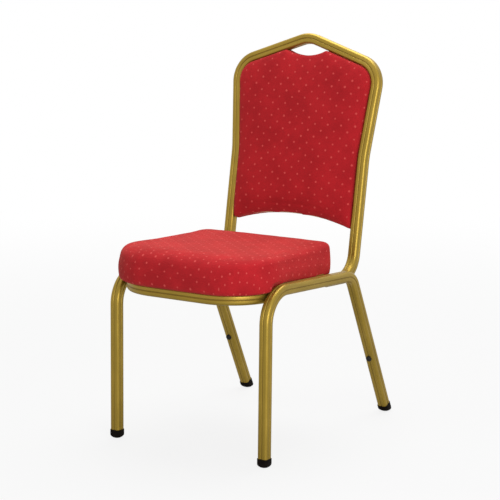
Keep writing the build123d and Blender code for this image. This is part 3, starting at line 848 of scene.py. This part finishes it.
class CHAIR_OT_bend_side_frames(bpy.types.Operator):
    """Bend the tubes that make a front leg, a side rail and a rear leg each"""

    bl_idname = "chair.bend_side_frames"
    bl_label = "Bend Side Frames"

    def execute(self, context):
        section, depth = tube_section()
        for name, side in SIDES.items():
            path = side_frame_path(side)
            tube = make_piece(f"side_tube_{name}",
                              [tube_surface(path.points, path.across, path.up, section, depth)],
                              gold_tube_finish())
            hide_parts(f"side_frame_{name}")
        return {"FINISHED"}


class CHAIR_OT_bend_hoop(bpy.types.Operator):
    """Bend the tube that makes the uprights and the crown, and close its two ends"""

    bl_idname = "chair.bend_hoop"
    bl_label = "Bend Hoop"

    def execute(self, context):
        section, depth = tube_section()
        points, across, up = hoop_line()
        hoop = make_piece("hoop_tube", [tube_surface(points, across, up, section, depth)],
                          gold_tube_finish())
        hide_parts("back_tube_left", "back_tube_right")
        left = end_plate_rows(points[0], unit(points[1] - points[0]), across[0], up[0])
        ends = make_piece("hoop_end_plates", [Surface(left), Surface((left * MIRROR)[:, ::-1])],
                          gold_part_finish())
        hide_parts("hoop_end_caps")
        return {"FINISHED"}


class CHAIR_OT_add_cross_rails(bpy.types.Operator):
    """Add the bent front rail and the straight rear rail"""

    bl_idname = "chair.add_cross_rails"
    bl_label = "Add Cross Rails"

    def execute(self, context):
        section, depth = tube_section()
        front = front_rail_path()
        for name, line in (("front", (front.points, front.across, front.up)), ("rear", rear_rail_line())):
            rail = make_piece(f"{name}_rail_tube", [tube_surface(*line, section, depth)], gold_tube_finish())
            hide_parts(f"{name}_cross_rail")
        return {"FINISHED"}


def rear_rail_weld(side):
    """Round a rear rail's end, as far as it meets the hoop, which is lower than the rail."""
    plain = square_section(TUBE, TUBE_CORNER, corner_points=4)[0]
    points, across, up = (a[-1] for a in rear_rail_line())
    ring = points + across * plain[:, :1] + up * plain[:, 1:]
    out = across * unit(plain)[:, :1] + up * unit(plain)[:, 1:]
    turn = np.argsort(np.arctan2(-plain[:, 1], -plain[:, 0]))
    turn = turn[plain[turn, 0] < HALF_TUBE - HOOP_DROP]
    ring[:, 0] = LAP_HALF - HALF_TUBE - WELD_GAP
    return weld_surface(ring[turn] * np.array([side, 1.0, 1.0]), out[turn])


def lap_weld(side, sign):
    """Along the valley between a side rail and a hoop end, above or below."""
    setback = np.linspace(LAP_START + 0.004, HEEL_SETBACK - 0.060, 30)
    line = lap_point(side, 0.0) + setback[:, None] * (lap_point(side, 1.0) - lap_point(side, 0.0))
    line[:, 0] = side * (RAIL_INNER_FACE - sign * WELD_VALLEY)
    lift = HALF_TUBE - WELD_VALLEY + (0 if sign > 0 else -HOOP_DROP)
    return weld_surface(line + SEAT.axes[2] * sign * lift, SEAT.axes[2] * sign)


def front_lap_weld(side):
    """Along the valley between a side rail and a front rail's end."""
    along = np.linspace(-0.018, FRONT_RAIL_LAP - 0.002, 20)
    line = np.zeros((20, 3))
    line[:, 0] = side * (RAIL_INNER_FACE - WELD_VALLEY)
    line[:, 1] = FRONT_LEG_Y - FRONT_RAIL_REACH + FRONT_RAIL_BEND + along
    line[:, 2] = RAIL_HEIGHT - FRONT_RAIL_DROP + HALF_TUBE - WELD_VALLEY
    return weld_surface(line, (0.0, 0.0, 1.0))


def bracket_weld(side, setback, end):
    """Down one end of a seat bracket, on the side rail's inner face."""
    depth = np.linspace(-0.0035, -BRACKET_DROP + 0.002, 12)
    bead = SEAT.place(side * (RAIL_INNER_FACE - WELD_GAP / 2),
                      setback + end * (BRACKET_LENGTH / 2 + WELD_GAP), depth)
    return weld_surface(bead, SEAT.axes[1])


def tab_weld(side, height):
    """Up the rear of a back tab, on the upright's inner face."""
    rise = up_back(height) + np.linspace(-1, 1, 16) * (TAB_LENGTH / 2 - 0.002)
    flare = (SHOULDER_SPACING - UPRIGHT_SPACING) / 2 / (SHOULDER_UP - FLARE_UP)
    x = UPRIGHT_SPACING / 2 + flare * np.maximum(rise - FLARE_UP, 0) - HALF_TUBE - WELD_GAP
    return weld_surface(BACK.place(side * x, rise, BOARD_BACK - TAB_THICKNESS - 0.0006), -BACK.axes[2])


class CHAIR_OT_lay_welds(bpy.types.Operator):
    """Lay weld beads along the laps, round the rear rail's ends, and beside the brackets and tabs"""

    bl_idname = "chair.lay_welds"
    bl_label = "Lay Welds"

    def execute(self, context):
        beads = []
        for side in SIDES.values():
            beads += [rear_rail_weld(side), lap_weld(side, 1), lap_weld(side, -1), front_lap_weld(side)]
            beads += [bracket_weld(side, setback, end) for setback in BRACKET_SETBACKS for end in (-1, 1)]
            beads += [tab_weld(side, height) for height in TAB_HEIGHTS]
        make_piece("weld_beads", beads, gold_part_finish())
        return {"FINISHED"}


# ---------------------------------------------------------------- feet and bumpers


def foot_surface(top, across, up_leg):
    """A foot under a leaning tube, cut flat at the floor.

    Each ring is a rounded square drawn in by an inset and slid down the leg's own direction, either by
    a set distance or until it meets a level plane. The floor edge follows a quarter circle.
    """
    other = np.cross(up_leg, across)

    def ring(inset, slide=None, level=None):
        width = FOOT_WIDTH - 2 * inset
        flat = square_section(width, min(FOOT_CORNER + inset / 2, 0.49 * width), corner_points=8)[0]
        points = top + across * flat[:, :1] + other * flat[:, 1:]
        drop = slide if level is None else (points[:, 2:] - level) / up_leg[2]
        return points - up_leg * drop

    quarter = np.linspace(0, pi / 2, 6)
    rows = [ring(FOOT_RIM + 0.0016, slide=-0.0001)]
    rows += [ring(FOOT_RIM * (1 - sin(q)), slide=FOOT_RIM * (1 - cos(q))) for q in quarter]
    last = rows[-1]
    floor_edge = ring(0, level=FOOT_EDGE)
    # the side, with a shallow moulded line a third of the way down
    for share, pinch in ((0.3, 0.0), (0.34, FOOT_LINE), (0.38, 0.0), (0.7, 0.0)):
        row = last + (floor_edge - last) * share
        middle = row.mean(0)
        rows.append(middle + (row - middle) * (1 - pinch / (FOOT_WIDTH / 2)))
    rows += [ring(FOOT_EDGE * (1 - cos(q)), level=FOOT_EDGE * (1 - sin(q))) for q in quarter]
    rows.append(ring(FOOT_EDGE + 0.003, level=0.0))
    rows.append(ring(FOOT_EDGE + 0.004, level=0.0006))
    return Surface(np.array(rows)[::-1])


def bumper_surface(base, out):
    """A domed button with a dimple in its middle: a profile of radius and height turned about an axis."""
    profile = np.array([(3.0, -0.8), (6.8, -0.6), (7.0, 0.0), (7.0, 2.0), (6.4, 3.6), (5.2, 4.5), (3.6, 4.9),
                        (2.4, 4.8), (1.9, 4.3), (1.2, 4.1)]) / 1000
    radius, height = profile.T[:, :, None, None]
    angle = np.linspace(0, 2 * pi, 33)[:-1]
    other = np.cross(out, ACROSS)
    return Surface(base + out * height + radius * (
        ACROSS * np.cos(angle)[:, None] + other * np.sin(angle)[:, None]))


class CHAIR_OT_fit_feet(bpy.types.Operator):
    """Fit the plastic feet and the rubber stacking bumpers"""

    bl_idname = "chair.fit_feet"
    bl_label = "Fit Feet"

    def execute(self, context):
        for name, side in SIDES.items():
            for place, leg_point in (("front", front_leg_point), ("rear", rear_leg_point)):
                surface = foot_surface(leg_point(side, FOOT_HEIGHT), ACROSS, leg_direction(leg_point, side))
                foot = make_piece(f"{place}_leg_foot_{name}", [surface], plastic_finish())
                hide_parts(f"{place}_foot_{name}")
            # the bumper sits on the rear leg's front face
            out = unit(np.cross(ACROSS, leg_direction(rear_leg_point, side)))
            button = bumper_surface(rear_leg_point(side, BUMPER_HEIGHT) + out * HALF_TUBE, out)
            bumper = make_piece(f"bumper_button_{name}", [button], rubber_finish())
            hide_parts(f"stacking_bumper_{name}")
        return {"FINISHED"}


# ---------------------------------------------------------------- cushions


def outline_from(corners, radii, count):
    """A closed outline in a plane, rounded at its corners and evenly spaced, with its outward normals."""
    flat = np.column_stack([np.array(corners, float), np.zeros(len(corners))])
    path = BentPath(flat, radii, (0, 0, 1), radians(3), 0.004)
    at = np.arange(count) / count * path.length[-1]
    points = np.stack([np.interp(at, path.length, path.points[:, k]) for k in (0, 1)], -1)
    tangent = unit(np.roll(points, -1, 0) - np.roll(points, 1, 0))
    return points, np.stack([tangent[:, 1], -tangent[:, 0]], -1)


def nearest(points, outline, normals):
    """For each point in a plane: its distance to the outline and the outward direction there."""
    gap = np.full(len(points), 1e9)
    out = np.zeros((len(points), 2))
    for start in range(0, len(points), 8000):
        block = points[start:start + 8000]
        squared = ((block[:, None] - outline[None]) ** 2).sum(-1)
        closest = squared.argmin(1)
        gap[start:start + 8000] = np.sqrt(squared[np.arange(len(block)), closest])
        out[start:start + 8000] = normals[closest]
    return gap, out


def stuffed(name, base, held, pressure, limit, cell):
    """A cushion's cover: the base surface in even cells, swollen by pressure but no further than a limit.

    held(points) says which points stay put. The swelling is a short cloth simulation without gravity.
    Each point's travel t is then evened out with its neighbours' and becomes t limit / (limit + |t|).
    """
    scene = bpy.context.scene
    mesh = bpy.data.meshes.new(name)
    mesh.from_pydata(base.points.tolist(), [], base.faces)
    form = bpy.data.objects.new(f"{name}_form", mesh)
    cover = bpy.data.objects.new(name, mesh.copy())
    for item in (form, cover):
        scene.collection.objects.link(item)
    cells = cover.modifiers.new("cells", "REMESH")
    cells.mode = "VOXEL"
    cells.voxel_size = cell
    bake_modifiers(cover)
    relax = cover.modifiers.new("relax", "SMOOTH")
    relax.factor, relax.iterations = 0.5, 4
    snug = cover.modifiers.new("snug", "SHRINKWRAP")
    snug.target = form
    settle = cover.modifiers.new("settle", "SMOOTH")
    settle.factor, settle.iterations = 0.5, 2
    bake_modifiers(cover)
    bpy.data.objects.remove(form)
    rest = mesh_points(cover.data)
    group = cover.vertex_groups.new(name="held")
    group.add(np.flatnonzero(held(rest)).tolist(), 1.0, "REPLACE")
    stuffing = cover.modifiers.new("stuffing", "CLOTH")
    settings = stuffing.settings
    settings.vertex_group_mass = "held"
    settings.use_pressure = True
    settings.uniform_pressure_force = pressure
    settings.effector_weights.gravity = 0.0
    settings.quality = 5
    stuffing.point_cache.frame_start, stuffing.point_cache.frame_end = 1, STUFFING_STEPS
    for step in range(1, STUFFING_STEPS + 1):
        scene.frame_set(step)
    shown = cover.evaluated_get(bpy.context.evaluated_depsgraph_get())
    travel = mesh_points(shown.data) - rest
    cover.modifiers.remove(stuffing)
    scene.frame_set(1)
    if not np.isfinite(travel).all():
        raise RuntimeError(f"{name}: the stuffing simulation did not settle")
    edges = np.empty(len(cover.data.edges) * 2, np.int32)
    cover.data.edges.foreach_get("vertices", edges)
    first, second = edges.reshape(-1, 2).T
    count = np.bincount(edges, minlength=len(rest))[:, None]
    for _ in range(EVENING_ROUNDS):
        total = np.zeros_like(travel)
        np.add.at(total, first, travel[second])
        np.add.at(total, second, travel[first])
        travel = (travel + total / count) / 2
    length = np.linalg.norm(travel, axis=1, keepdims=True)
    set_points(cover.data, rest + travel * limit / (limit + length))
    return cover


def bake_modifiers(piece):
    """Replace a piece's mesh with what its modifiers make of it."""
    shown = piece.evaluated_get(bpy.context.evaluated_depsgraph_get())
    mesh = bpy.data.meshes.new_from_object(shown)
    piece.modifiers.clear()
    piece.data = mesh


def mesh_points(mesh):
    """A mesh's points as an array."""
    points = np.empty(len(mesh.vertices) * 3, np.float32)
    mesh.vertices.foreach_get("co", points)
    return points.reshape(-1, 3).astype(float)


def set_points(mesh, points):
    """Move a mesh's points."""
    mesh.vertices.foreach_set("co", points.astype(np.float32).ravel())
    mesh.update()


def finish_cushion(cover, cloth_map):
    """Give a cover its cloth map, one subdivision and its finish."""
    mesh = cover.data
    corners = np.empty(len(mesh.loops), np.int32)
    mesh.loops.foreach_get("vertex_index", corners)
    mesh.uv_layers.new(name="cloth").data.foreach_set("uv", cloth_map[corners].astype(np.float32).ravel())
    mesh.materials.clear()
    mesh.materials.append(red_cloth_finish())
    mesh.shade_smooth()
    finer = cover.modifiers.new("finer", "SUBSURF")
    finer.levels = finer.render_levels = 1
    finer.use_limit_surface = False
    bake_modifiers(cover)
    cover.data.shade_smooth()
    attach(cover, BODY)


def cloth_over_edge(place, height, outline, normals, edge, top):
    """A map in metres that runs over a cushion's edge without a break.

    Inside the edge roll it is the place in the plane. Past it, the place is pushed outwards by the
    length of cloth over the roll and down the side: about 1.11 times the straight distance on the
    roll, and then the drop below it.
    """
    gap, out = nearest(place, outline, normals)
    drop = np.maximum(top - height, 0)
    inward = np.clip(edge - gap, 0, None)
    on_roll = 1.11 * np.hypot(inward, np.minimum(drop, edge))
    over = np.where(drop > edge, pi / 2 * edge + drop - edge, on_roll)
    over = np.where(gap > edge, 0, over)
    return place - out * inward[:, None] + out * over[:, None]


def seat_outline(count=480):
    """The seat's plan: tapered with the rails, bowed in front, round at the corners."""
    front = SEAT_FRONT + SEAT_FRONT_BOW
    corners = [(0, SEAT_REAR), (-SEAT_REAR_HALF, SEAT_REAR), (-SEAT_FRONT_HALF, front),
               (0, SEAT_FRONT - SEAT_FRONT_BOW / 2), (SEAT_FRONT_HALF, front), (SEAT_REAR_HALF, SEAT_REAR),
               (0, SEAT_REAR)]
    return outline_from(corners, (SEAT_REAR_CORNER, SEAT_FRONT_CORNER, 2.5, SEAT_FRONT_CORNER,
                                  SEAT_REAR_CORNER), count)


def seat_top(x, y):
    """Height of the seat's top over the rails' tops: it climbs to the rear and is crowned across."""
    along = np.interp(y, (-0.061, 0.000, 0.124, 0.200, 0.268, 0.328),
                      (0.0560, 0.0590, 0.0625, 0.0655, 0.0690, 0.0715))
    rise = bpy.context.scene.chair_cushions.seat_crown
    return along - rise * np.clip(np.abs(x) / SEAT_FRONT_HALF, 0, 1) ** 2.5


def seat_underside(y):
    """Height of the cover's lower edge over the rails' tops: lowest in front, over the front rail."""
    return np.interp(y, (-0.061, -0.046, -0.025, -0.010, 0.018, 0.052, 0.100, 0.328),
                     (-0.0245, -0.0230, -0.0215, -0.0205, -0.0180, -0.0130, -0.0070, -0.0065))


def beside_rails(x, y, height):
    """Hold x inside the side rails' rounded inner corners, below their tops."""
    below = np.clip(height, -TUBE_CORNER, 0) + TUBE_CORNER
    face = RAIL_INNER_FACE + TUBE_CORNER - np.sqrt(TUBE_CORNER ** 2 - below ** 2) - 0.0003
    limit = np.where((height < 0.0005) & (y > 0.038), face, 1.0)
    return np.clip(x, -limit, limit)


def seat_form(sizes):
    """The cushion before it is stuffed, as rings from the middle of its top to the middle underneath.

    The top follows seat_top, a quarter circle rolls over its edge, the side has a slight belly, another
    quarter circle tucks it under, and the underside runs in to the open middle and up round the board.
    """
    outline, normals = seat_outline(240)
    centre = np.array([0.0, (SEAT_FRONT + SEAT_REAR) / 2])
    frontness = np.clip(-normals[:, 1], 0, 1) ** 1.5
    roll = sizes.seat_side_roll + (sizes.seat_front_roll - sizes.seat_side_roll) * frontness
    tuck = SEAT_SIDE_TUCK + (SEAT_FRONT_TUCK - SEAT_SIDE_TUCK) * frontness
    edge = outline - normals * roll[:, None]
    under = seat_underside(outline[:, 1])
    rim = seat_top(*edge.T)

    def ring(inset, height):
        place = outline - normals * np.broadcast_to(inset, len(outline))[:, None]
        return np.column_stack([beside_rails(place[:, 0], place[:, 1], height), place[:, 1], height])

    quarter = np.linspace(0, pi / 2, 8)
    rows = []
    for share in np.linspace(0.97, 0, 14):
        place = edge + (centre - edge) * share
        rows.append(np.column_stack([place, seat_top(*place.T)]))
    rows += [ring(roll * (1 - sin(q)), rim - roll * (1 - cos(q))) for q in quarter[1:]]
    low, high = under + tuck, rim - roll
    rows += [ring(-SEAT_BELLY * sin(pi * share), high + (low - high) * share)
             for share in np.linspace(0, 1, 9)[1:-1]]
    rows += [ring(tuck * (1 - cos(q)), under + tuck * (1 - sin(q))) for q in quarter]
    half = RAIL_INNER_FACE - SEAT_UNDERSIDE_INSET
    front, rear = SEAT_LIP_END + 0.004, REAR_RAIL_SETBACK - HALF_TUBE - 0.001
    middle = np.array([0.0, (front + rear) / 2])
    ray = outline - middle
    reach = np.minimum(half / np.maximum(np.abs(ray[:, 0]), 1e-6),
                       (rear - front) / 2 / np.maximum(np.abs(ray[:, 1]), 1e-6))
    inner = middle + ray * reach[:, None]
    for share in (0.35, 0.7, 1.0):
        place = rows[-1][:, :2] + (inner - rows[-1][:, :2]) * share
        rows.append(np.column_stack([place, seat_underside(place[:, 1])]))
    level = np.full(len(inner), SEAT_INNER_LEVEL)
    rows += [np.column_stack([inner + (inner.mean(0) - inner) * share, level]) for share in (0, 0.4, 0.97)]
    rows = np.array(rows)
    return Surface(SEAT.place(rows[..., 0], rows[..., 1], rows[..., 2])[::-1])


class CHAIR_OT_pad_seat(bpy.types.Operator):
    """Pad the seat with a crowned cushion that rolls over the front and hangs over the front rail"""

    bl_idname = "chair.pad_seat"
    bl_label = "Pad Seat"

    def execute(self, context):
        sizes = context.scene.chair_cushions

        def held(points):
            return SEAT.measure(points)[:, 2] < SEAT_INNER_LEVEL + 0.002

        cover = stuffed("seat_cushion", seat_form(sizes), held, sizes.pressure, sizes.seat_swell, sizes.cell)
        place = SEAT.measure(mesh_points(cover.data))
        outline, normals = seat_outline()
        cloth = cloth_over_edge(place[:, :2], place[:, 2], outline, normals, SEAT_CLOTH_EDGE,
                                place[:, 2].max())
        finish_cushion(cover, cloth)
        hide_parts("seat_cover", "seat_foam")
        return {"FINISHED"}


def pad_outline(count=420):
    """The back pad's face: the hoop's inside less a gap, the arched lower edge and the hand-hold."""
    inset = HALF_TUBE - PAD_PINCH
    side = UPRIGHT_SPACING / 2 - inset
    low, floor = up_back(PAD_BOTTOM_HEIGHT), up_back(PAD_TOP_HEIGHT)
    radius = (PAD_BOTTOM_RISE ** 2 + (UPRIGHT_SPACING / 2) ** 2) / (2 * PAD_BOTTOM_RISE)
    arch = np.arcsin(side / radius)
    arch_centre = low + PAD_BOTTOM_RISE - radius
    flare = atan2((SHOULDER_SPACING - UPRIGHT_SPACING) / 2, SHOULDER_UP - FLARE_UP)
    # offset corners: where the lines beside each corner, moved in by the inset, cross again
    flare_up = FLARE_UP + inset * tan(flare / 2)
    turn = pi / 2 - flare - CROWN_PITCH
    bisector = flare + turn / 2
    reach = inset / cos(turn / 2)
    shoulder = (SHOULDER_SPACING / 2 - reach * cos(bisector), SHOULDER_UP - reach * sin(bisector))
    crown = PEAK_CORNER_UP - inset / cos(CROWN_PITCH)
    # the hand-hold's floor is an arc as well, up to where it meets the underside of the crown
    slope, lower = tan(CROWN_PITCH), crown - floor - HANDHOLD_RADIUS
    spread = (slope * lower) ** 2 - (1 + slope ** 2) * (lower ** 2 - HANDHOLD_RADIUS ** 2)
    open_half = (slope * lower + spread ** 0.5) / (1 + slope ** 2)
    turns = np.arcsin(open_half / HANDHOLD_RADIUS) * np.array([1, 0.75, 0.5, 0.25])
    hold = [(HANDHOLD_RADIUS * sin(t), floor + HANDHOLD_RADIUS * (1 - cos(t))) for t in turns]
    right = [(side, arch_centre + radius * cos(arch)), (side, flare_up), shoulder, *hold]
    radii = [0.005, FLARE_BEND + inset, SHOULDER_BEND - inset, 0.001, 0.05, 0.05, 0.05]
    left = [(-x, y) for x, y in right[::-1]]
    apex = (0, arch_centre + radius / cos(arch))
    corners = [(0.0, floor), *left, apex, *right, (0.0, floor)]
    return outline_from(corners, (*radii[::-1], radius * 0.86, *radii), count)


def pad_base(outline, normals, back, front, edge):
    """A slab between two depths with its outer edge rounded by a quarter circle."""
    direction = 1 if front > back else -1
    rows = [np.column_stack([outline, np.full(len(outline), back)])]
    for q in np.linspace(0, pi / 2, 6):
        rows.append(np.column_stack([outline - normals * edge * (1 - cos(q)),
                                     np.full(len(outline), front - direction * edge * (1 - sin(q)))]))
    rows = np.array(rows)[::direction]
    return Surface(BACK.place(rows[..., 0], rows[..., 1], rows[..., 2]))


class CHAIR_OT_pad_back(bpy.types.Operator):
    """Pad the front of the back: crowned, thinner at its sides, and rolled to a thin lower edge"""

    bl_idname = "chair.pad_back"
    bl_label = "Pad Back"

    def execute(self, context):
        sizes = context.scene.chair_cushions
        outline, normals = pad_outline()
        base = pad_base(outline + normals * PAD_LAP, normals, BOARD_BACK - PAD_LAP, sizes.back_thickness,
                        PAD_EDGE)

        def held(points):
            return BACK.measure(points)[:, 2] < BOARD_BACK + 0.0024

        cover = stuffed("back_pad", base, held, sizes.pressure, sizes.back_swell, sizes.cell)
        place = BACK.measure(mesh_points(cover.data))
        low_edge = (normals[:, 1] < -0.7) & (outline[:, 1] < FLARE_UP)
        beside, _ = nearest(place[:, :2], outline[~low_edge], normals[~low_edge])
        above, _ = nearest(place[:, :2], outline[low_edge], normals[low_edge])
        # thickness times a share that rises from the sides inwards and from the lower edge upwards
        side_share = 0.70 + 0.30 * rounded(beside, 0.120)
        low_share = 0.34 + 0.66 * rounded(above, sizes.back_roll)
        # a soft fold 22 mm above the lower edge, in the middle
        fold = 0.0016 * np.exp(-((above - 0.022) / 0.004) ** 2) * smooth(0.13 - np.abs(place[:, 0]), 0, 0.07)
        lift = (place[:, 2] - BOARD_BACK) * side_share * low_share
        place[:, 2] = BOARD_BACK + lift - fold * smooth(lift, 0.004, 0.012)
        set_points(cover.data, BACK.place(*place.T))
        cloth = cloth_over_edge(place[:, :2], place[:, 2], outline, normals, PAD_EDGE,
                                0.7 * (sizes.back_thickness - BOARD_BACK))
        finish_cushion(cover, cloth)
        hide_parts("back_cover", "back_foam")
        return {"FINISHED"}


class CHAIR_OT_cover_rear(bpy.types.Operator):
    """Cover the rear of the back with a thin padded panel that laps over the front pad's edge"""

    bl_idname = "chair.cover_rear"
    bl_label = "Cover Rear"

    def execute(self, context):
        sizes = context.scene.chair_cushions
        outline, normals = pad_outline()
        base = pad_base(outline + normals * 2 * PAD_LAP, normals, BOARD_BACK - 0.0002, PAD_BACK, 0.0025)

        def held(points):
            return BACK.measure(points)[:, 2] > BOARD_BACK - 0.004

        cover = stuffed("back_rear_pad", base, held, sizes.pressure, sizes.rear_swell, sizes.cell)
        place = BACK.measure(mesh_points(cover.data))
        beside, _ = nearest(place[:, :2], outline, normals)
        share = 0.93 + 0.07 * rounded(beside, 0.060)
        place[:, 2] = BOARD_BACK + (place[:, 2] - BOARD_BACK) * share
        set_points(cover.data, BACK.place(*place.T))
        cloth = cloth_over_edge(place[:, :2], -place[:, 2], outline, normals, 0.003, -PAD_BACK)
        finish_cushion(cover, cloth)
        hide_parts("back_rear_cover")
        return {"FINISHED"}


class CHAIR_OT_stretch_dust_cloth(bpy.types.Operator):
    """Stretch the black cloth under the seat, drawn tight at its staples and slack between them"""

    bl_idname = "chair.stretch_dust_cloth"
    bl_label = "Stretch Dust Cloth"

    def execute(self, context):
        front = SEAT_LIP_END + DUST_CLOTH_MARGIN
        rear = REAR_RAIL_SETBACK - HALF_TUBE - DUST_CLOTH_MARGIN
        half = RAIL_INNER_FACE - DUST_CLOTH_INSET
        x, y = np.meshgrid(np.linspace(-half, half, 90), np.linspace(front, rear, 80), indexing="xy")
        # it hangs 2 mm in the middle, and ripples 0.3 mm from staple to staple along its edges
        inside = np.minimum(half - np.abs(x), np.minimum(y - front, rear - y))
        ripple = 0.00015 * (1 + np.cos(2 * pi * x / STAPLE_PITCH) * np.cos(2 * pi * y / STAPLE_PITCH))
        sag = -0.0004 - 0.0016 * smooth(inside, 0, 0.10) - ripple * (1 - smooth(inside, 0.004, 0.03))
        sheet = SEAT.place(x, y, sag)
        lower = SEAT.place(x, y, sag - 0.0004)
        hem = np.array([np.concatenate([g[0], g[1:, -1], g[-1, -2::-1], g[-2:0:-1, 0]])
                        for g in (lower, sheet)])
        surfaces = [Surface(lower[:, ::-1], around=False), Surface(sheet, around=False),
                    Surface(hem, caps=False)]
        cloth = make_piece("dust_cloth", surfaces, dust_cloth_finish())
        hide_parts("seat_dust_cloth")
        return {"FINISHED"}


# ---------------------------------------------------------------- small parts and stage


class CHAIR_OT_finish_small_parts(bpy.types.Operator):
    """Give the boards, brackets, tabs, sleeve and fixings their finishes"""

    bl_idname = "chair.finish_small_parts"
    bl_label = "Finish Small Parts"

    def execute(self, context):
        finishes = {
            "peak_sleeve": bare_aluminium_finish(),
            "seat_brackets": gold_part_finish(),
            "back_tabs": gold_part_finish(),
            "seat_bolts": zinc_finish(),
            "seat_washers": zinc_finish(),
            "seat_tee_nuts": zinc_finish(),
            "seat_staples": zinc_finish(),
            "back_screws": zinc_finish(),
            "back_tee_nuts": zinc_finish(),
            "seat_board": plywood_finish(),
            "back_board": plywood_finish(),
            "back_rear_panel": plywood_finish(),
        }
        for node, finish in finishes.items():
            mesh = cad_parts[node].data
            mesh.materials.clear()
            mesh.materials.append(finish)
        return {"FINISHED"}


def floor_paint():
    """Plain pale paint, with an even white laid over it where the floor is seen or mirrored.

    Near the chair the paint shows through and keeps the shadow. Far off it meets the world's white.
    """
    paint = bpy.data.materials.new("floor paint")
    paint.use_nodes = True
    tree = paint.node_tree
    tree.nodes.clear()
    diffuse = tree.nodes.new("ShaderNodeBsdfDiffuse")
    diffuse.inputs["Color"].default_value = (0.50, 0.50, 0.50, 1)
    white = tree.nodes.new("ShaderNodeEmission")
    seen = tree.nodes.new("ShaderNodeLightPath").outputs
    mix = tree.nodes.new("ShaderNodeMixShader")
    away = vector_calc(tree, "LENGTH", object_place(tree))
    mirrored = calc(tree, "MAXIMUM", seen["Is Glossy Ray"], seen["Is Transmission Ray"])
    direct = times(tree, seen["Is Camera Ray"], ramp(tree, away, 0.7, 3.5, 0.85, 1.0))
    mirrored = times(tree, mirrored, ramp(tree, away, 0.6, 3.0, 0.15, 1.0))
    wire(tree, mix.inputs[0], calc(tree, "MAXIMUM", direct, mirrored))
    wire(tree, mix.inputs[1], diffuse.outputs[0])
    wire(tree, mix.inputs[2], white.outputs[0])
    wire(tree, tree.nodes.new("ShaderNodeOutputMaterial").inputs[0], mix.outputs[0])
    return paint


def studio_world(sky):
    """A world that is white where it is seen or mirrored, and softer where it lights."""
    world = bpy.data.worlds.new("studio")
    world.use_nodes = True
    tree = world.node_tree
    seen = tree.nodes.new("ShaderNodeLightPath").outputs
    shown = calc(tree, "MAXIMUM", seen["Is Glossy Ray"], seen["Is Transmission Ray"])
    shown = calc(tree, "MAXIMUM", seen["Is Camera Ray"], shown)
    background = tree.nodes["Background"].inputs
    background["Color"].default_value = (1, 1, 1, 1)
    wire(tree, background["Strength"], plus(tree, times(tree, shown, 1.0 - sky), sky))
    return world


def put_up(name, data, place, target):
    """A lamp or the camera at a place, turned to look at a target."""
    item = bpy.data.objects.new(name, data)
    item.location = place
    item.rotation_euler = (Vector(target) - item.location).to_track_quat("-Z", "Y").to_euler()
    bpy.context.scene.collection.objects.link(item)
    return item


class CHAIR_OT_set_stage(bpy.types.Operator):
    """Lay a pale floor, hang soft light and set up the camera"""

    bl_idname = "chair.set_stage"
    bl_label = "Set Stage"

    def execute(self, context):
        scene, studio = context.scene, context.scene.chair_studio
        mesh = bpy.data.meshes.new("floor")
        corners = [(x * FLOOR_REACH, y * FLOOR_REACH, 0) for x, y in ((-1, -1), (1, -1), (1, 1), (-1, 1))]
        mesh.from_pydata(corners, [], [(0, 1, 2, 3)])
        mesh.materials.append(floor_paint())
        floor = bpy.data.objects.new("floor", mesh)
        scene.collection.objects.link(floor)
        scene.world = studio_world(studio.sky)
        for name, power, size, place, target in (
                ("key", studio.key, 2.2, (-0.2, 0.7, 2.8), (0.0, 0.1, 0.4)),
                ("fill", studio.fill, 1.4, (2.1, -1.7, 0.9), (0.0, 0.1, 0.6))):
            lamp = bpy.data.lights.new(name, "AREA")
            lamp.energy, lamp.size = power, size
            put_up(name, lamp, place, target)
        lens = bpy.data.cameras.new("camera")
        lens.lens, lens.sensor_width = studio.lens, 36.0
        level = cos(studio.elevation) * studio.distance
        place = Vector(studio.target) + Vector((sin(studio.azimuth) * level, -cos(studio.azimuth) * level,
                                                sin(studio.elevation) * studio.distance))
        scene.camera = put_up("camera", lens, place, studio.target)
        scene.view_settings.view_transform = "Standard"
        return {"FINISHED"}


PIECES = (
    CHAIR_OT_bend_side_frames, CHAIR_OT_bend_hoop, CHAIR_OT_add_cross_rails, CHAIR_OT_lay_welds,
    CHAIR_OT_fit_feet, CHAIR_OT_pad_seat, CHAIR_OT_pad_back, CHAIR_OT_cover_rear,
    CHAIR_OT_stretch_dust_cloth, CHAIR_OT_finish_small_parts, CHAIR_OT_set_stage,
)
SETTINGS = (
    ("chair_tubes", ChairTubeSettings), ("chair_cushions", ChairCushionSettings),
    ("chair_finishes", ChairFinishSettings), ("chair_studio", ChairStudioSettings),
)


class CHAIR_PT_sidebar(bpy.types.Panel):
    """The chair's steps and sizes"""

    bl_idname = "CHAIR_PT_sidebar"
    bl_label = "Stacking Chair"
    bl_space_type = "VIEW_3D"
    bl_region_type = "UI"
    bl_category = "Chair"

    def draw(self, context):
        for piece in PIECES:
            self.layout.operator(piece.bl_idname)
        for name, settings in SETTINGS:
            box = self.layout.box()
            for size in settings.__annotations__:
                box.prop(getattr(context.scene, name), size)


def register():
    """Make the settings, operators and panel known to Blender."""
    for name, settings in SETTINGS:
        bpy.utils.register_class(settings)
        setattr(bpy.types.Scene, name, PointerProperty(type=settings))
    for item in (*PIECES, CHAIR_PT_sidebar):
        bpy.utils.register_class(item)


def unregister():
    """Take them away again."""
    for item in reversed((*PIECES, CHAIR_PT_sidebar)):
        bpy.utils.unregister_class(item)
    for name, settings in reversed(SETTINGS):
        delattr(bpy.types.Scene, name)
        bpy.utils.unregister_class(settings)


def main():
    """Build every piece in order."""
    register()
    for piece in PIECES:
        group, action = piece.bl_idname.split(".")
        getattr(getattr(bpy.ops, group), action)()


if __name__ == "__main__":
    main()
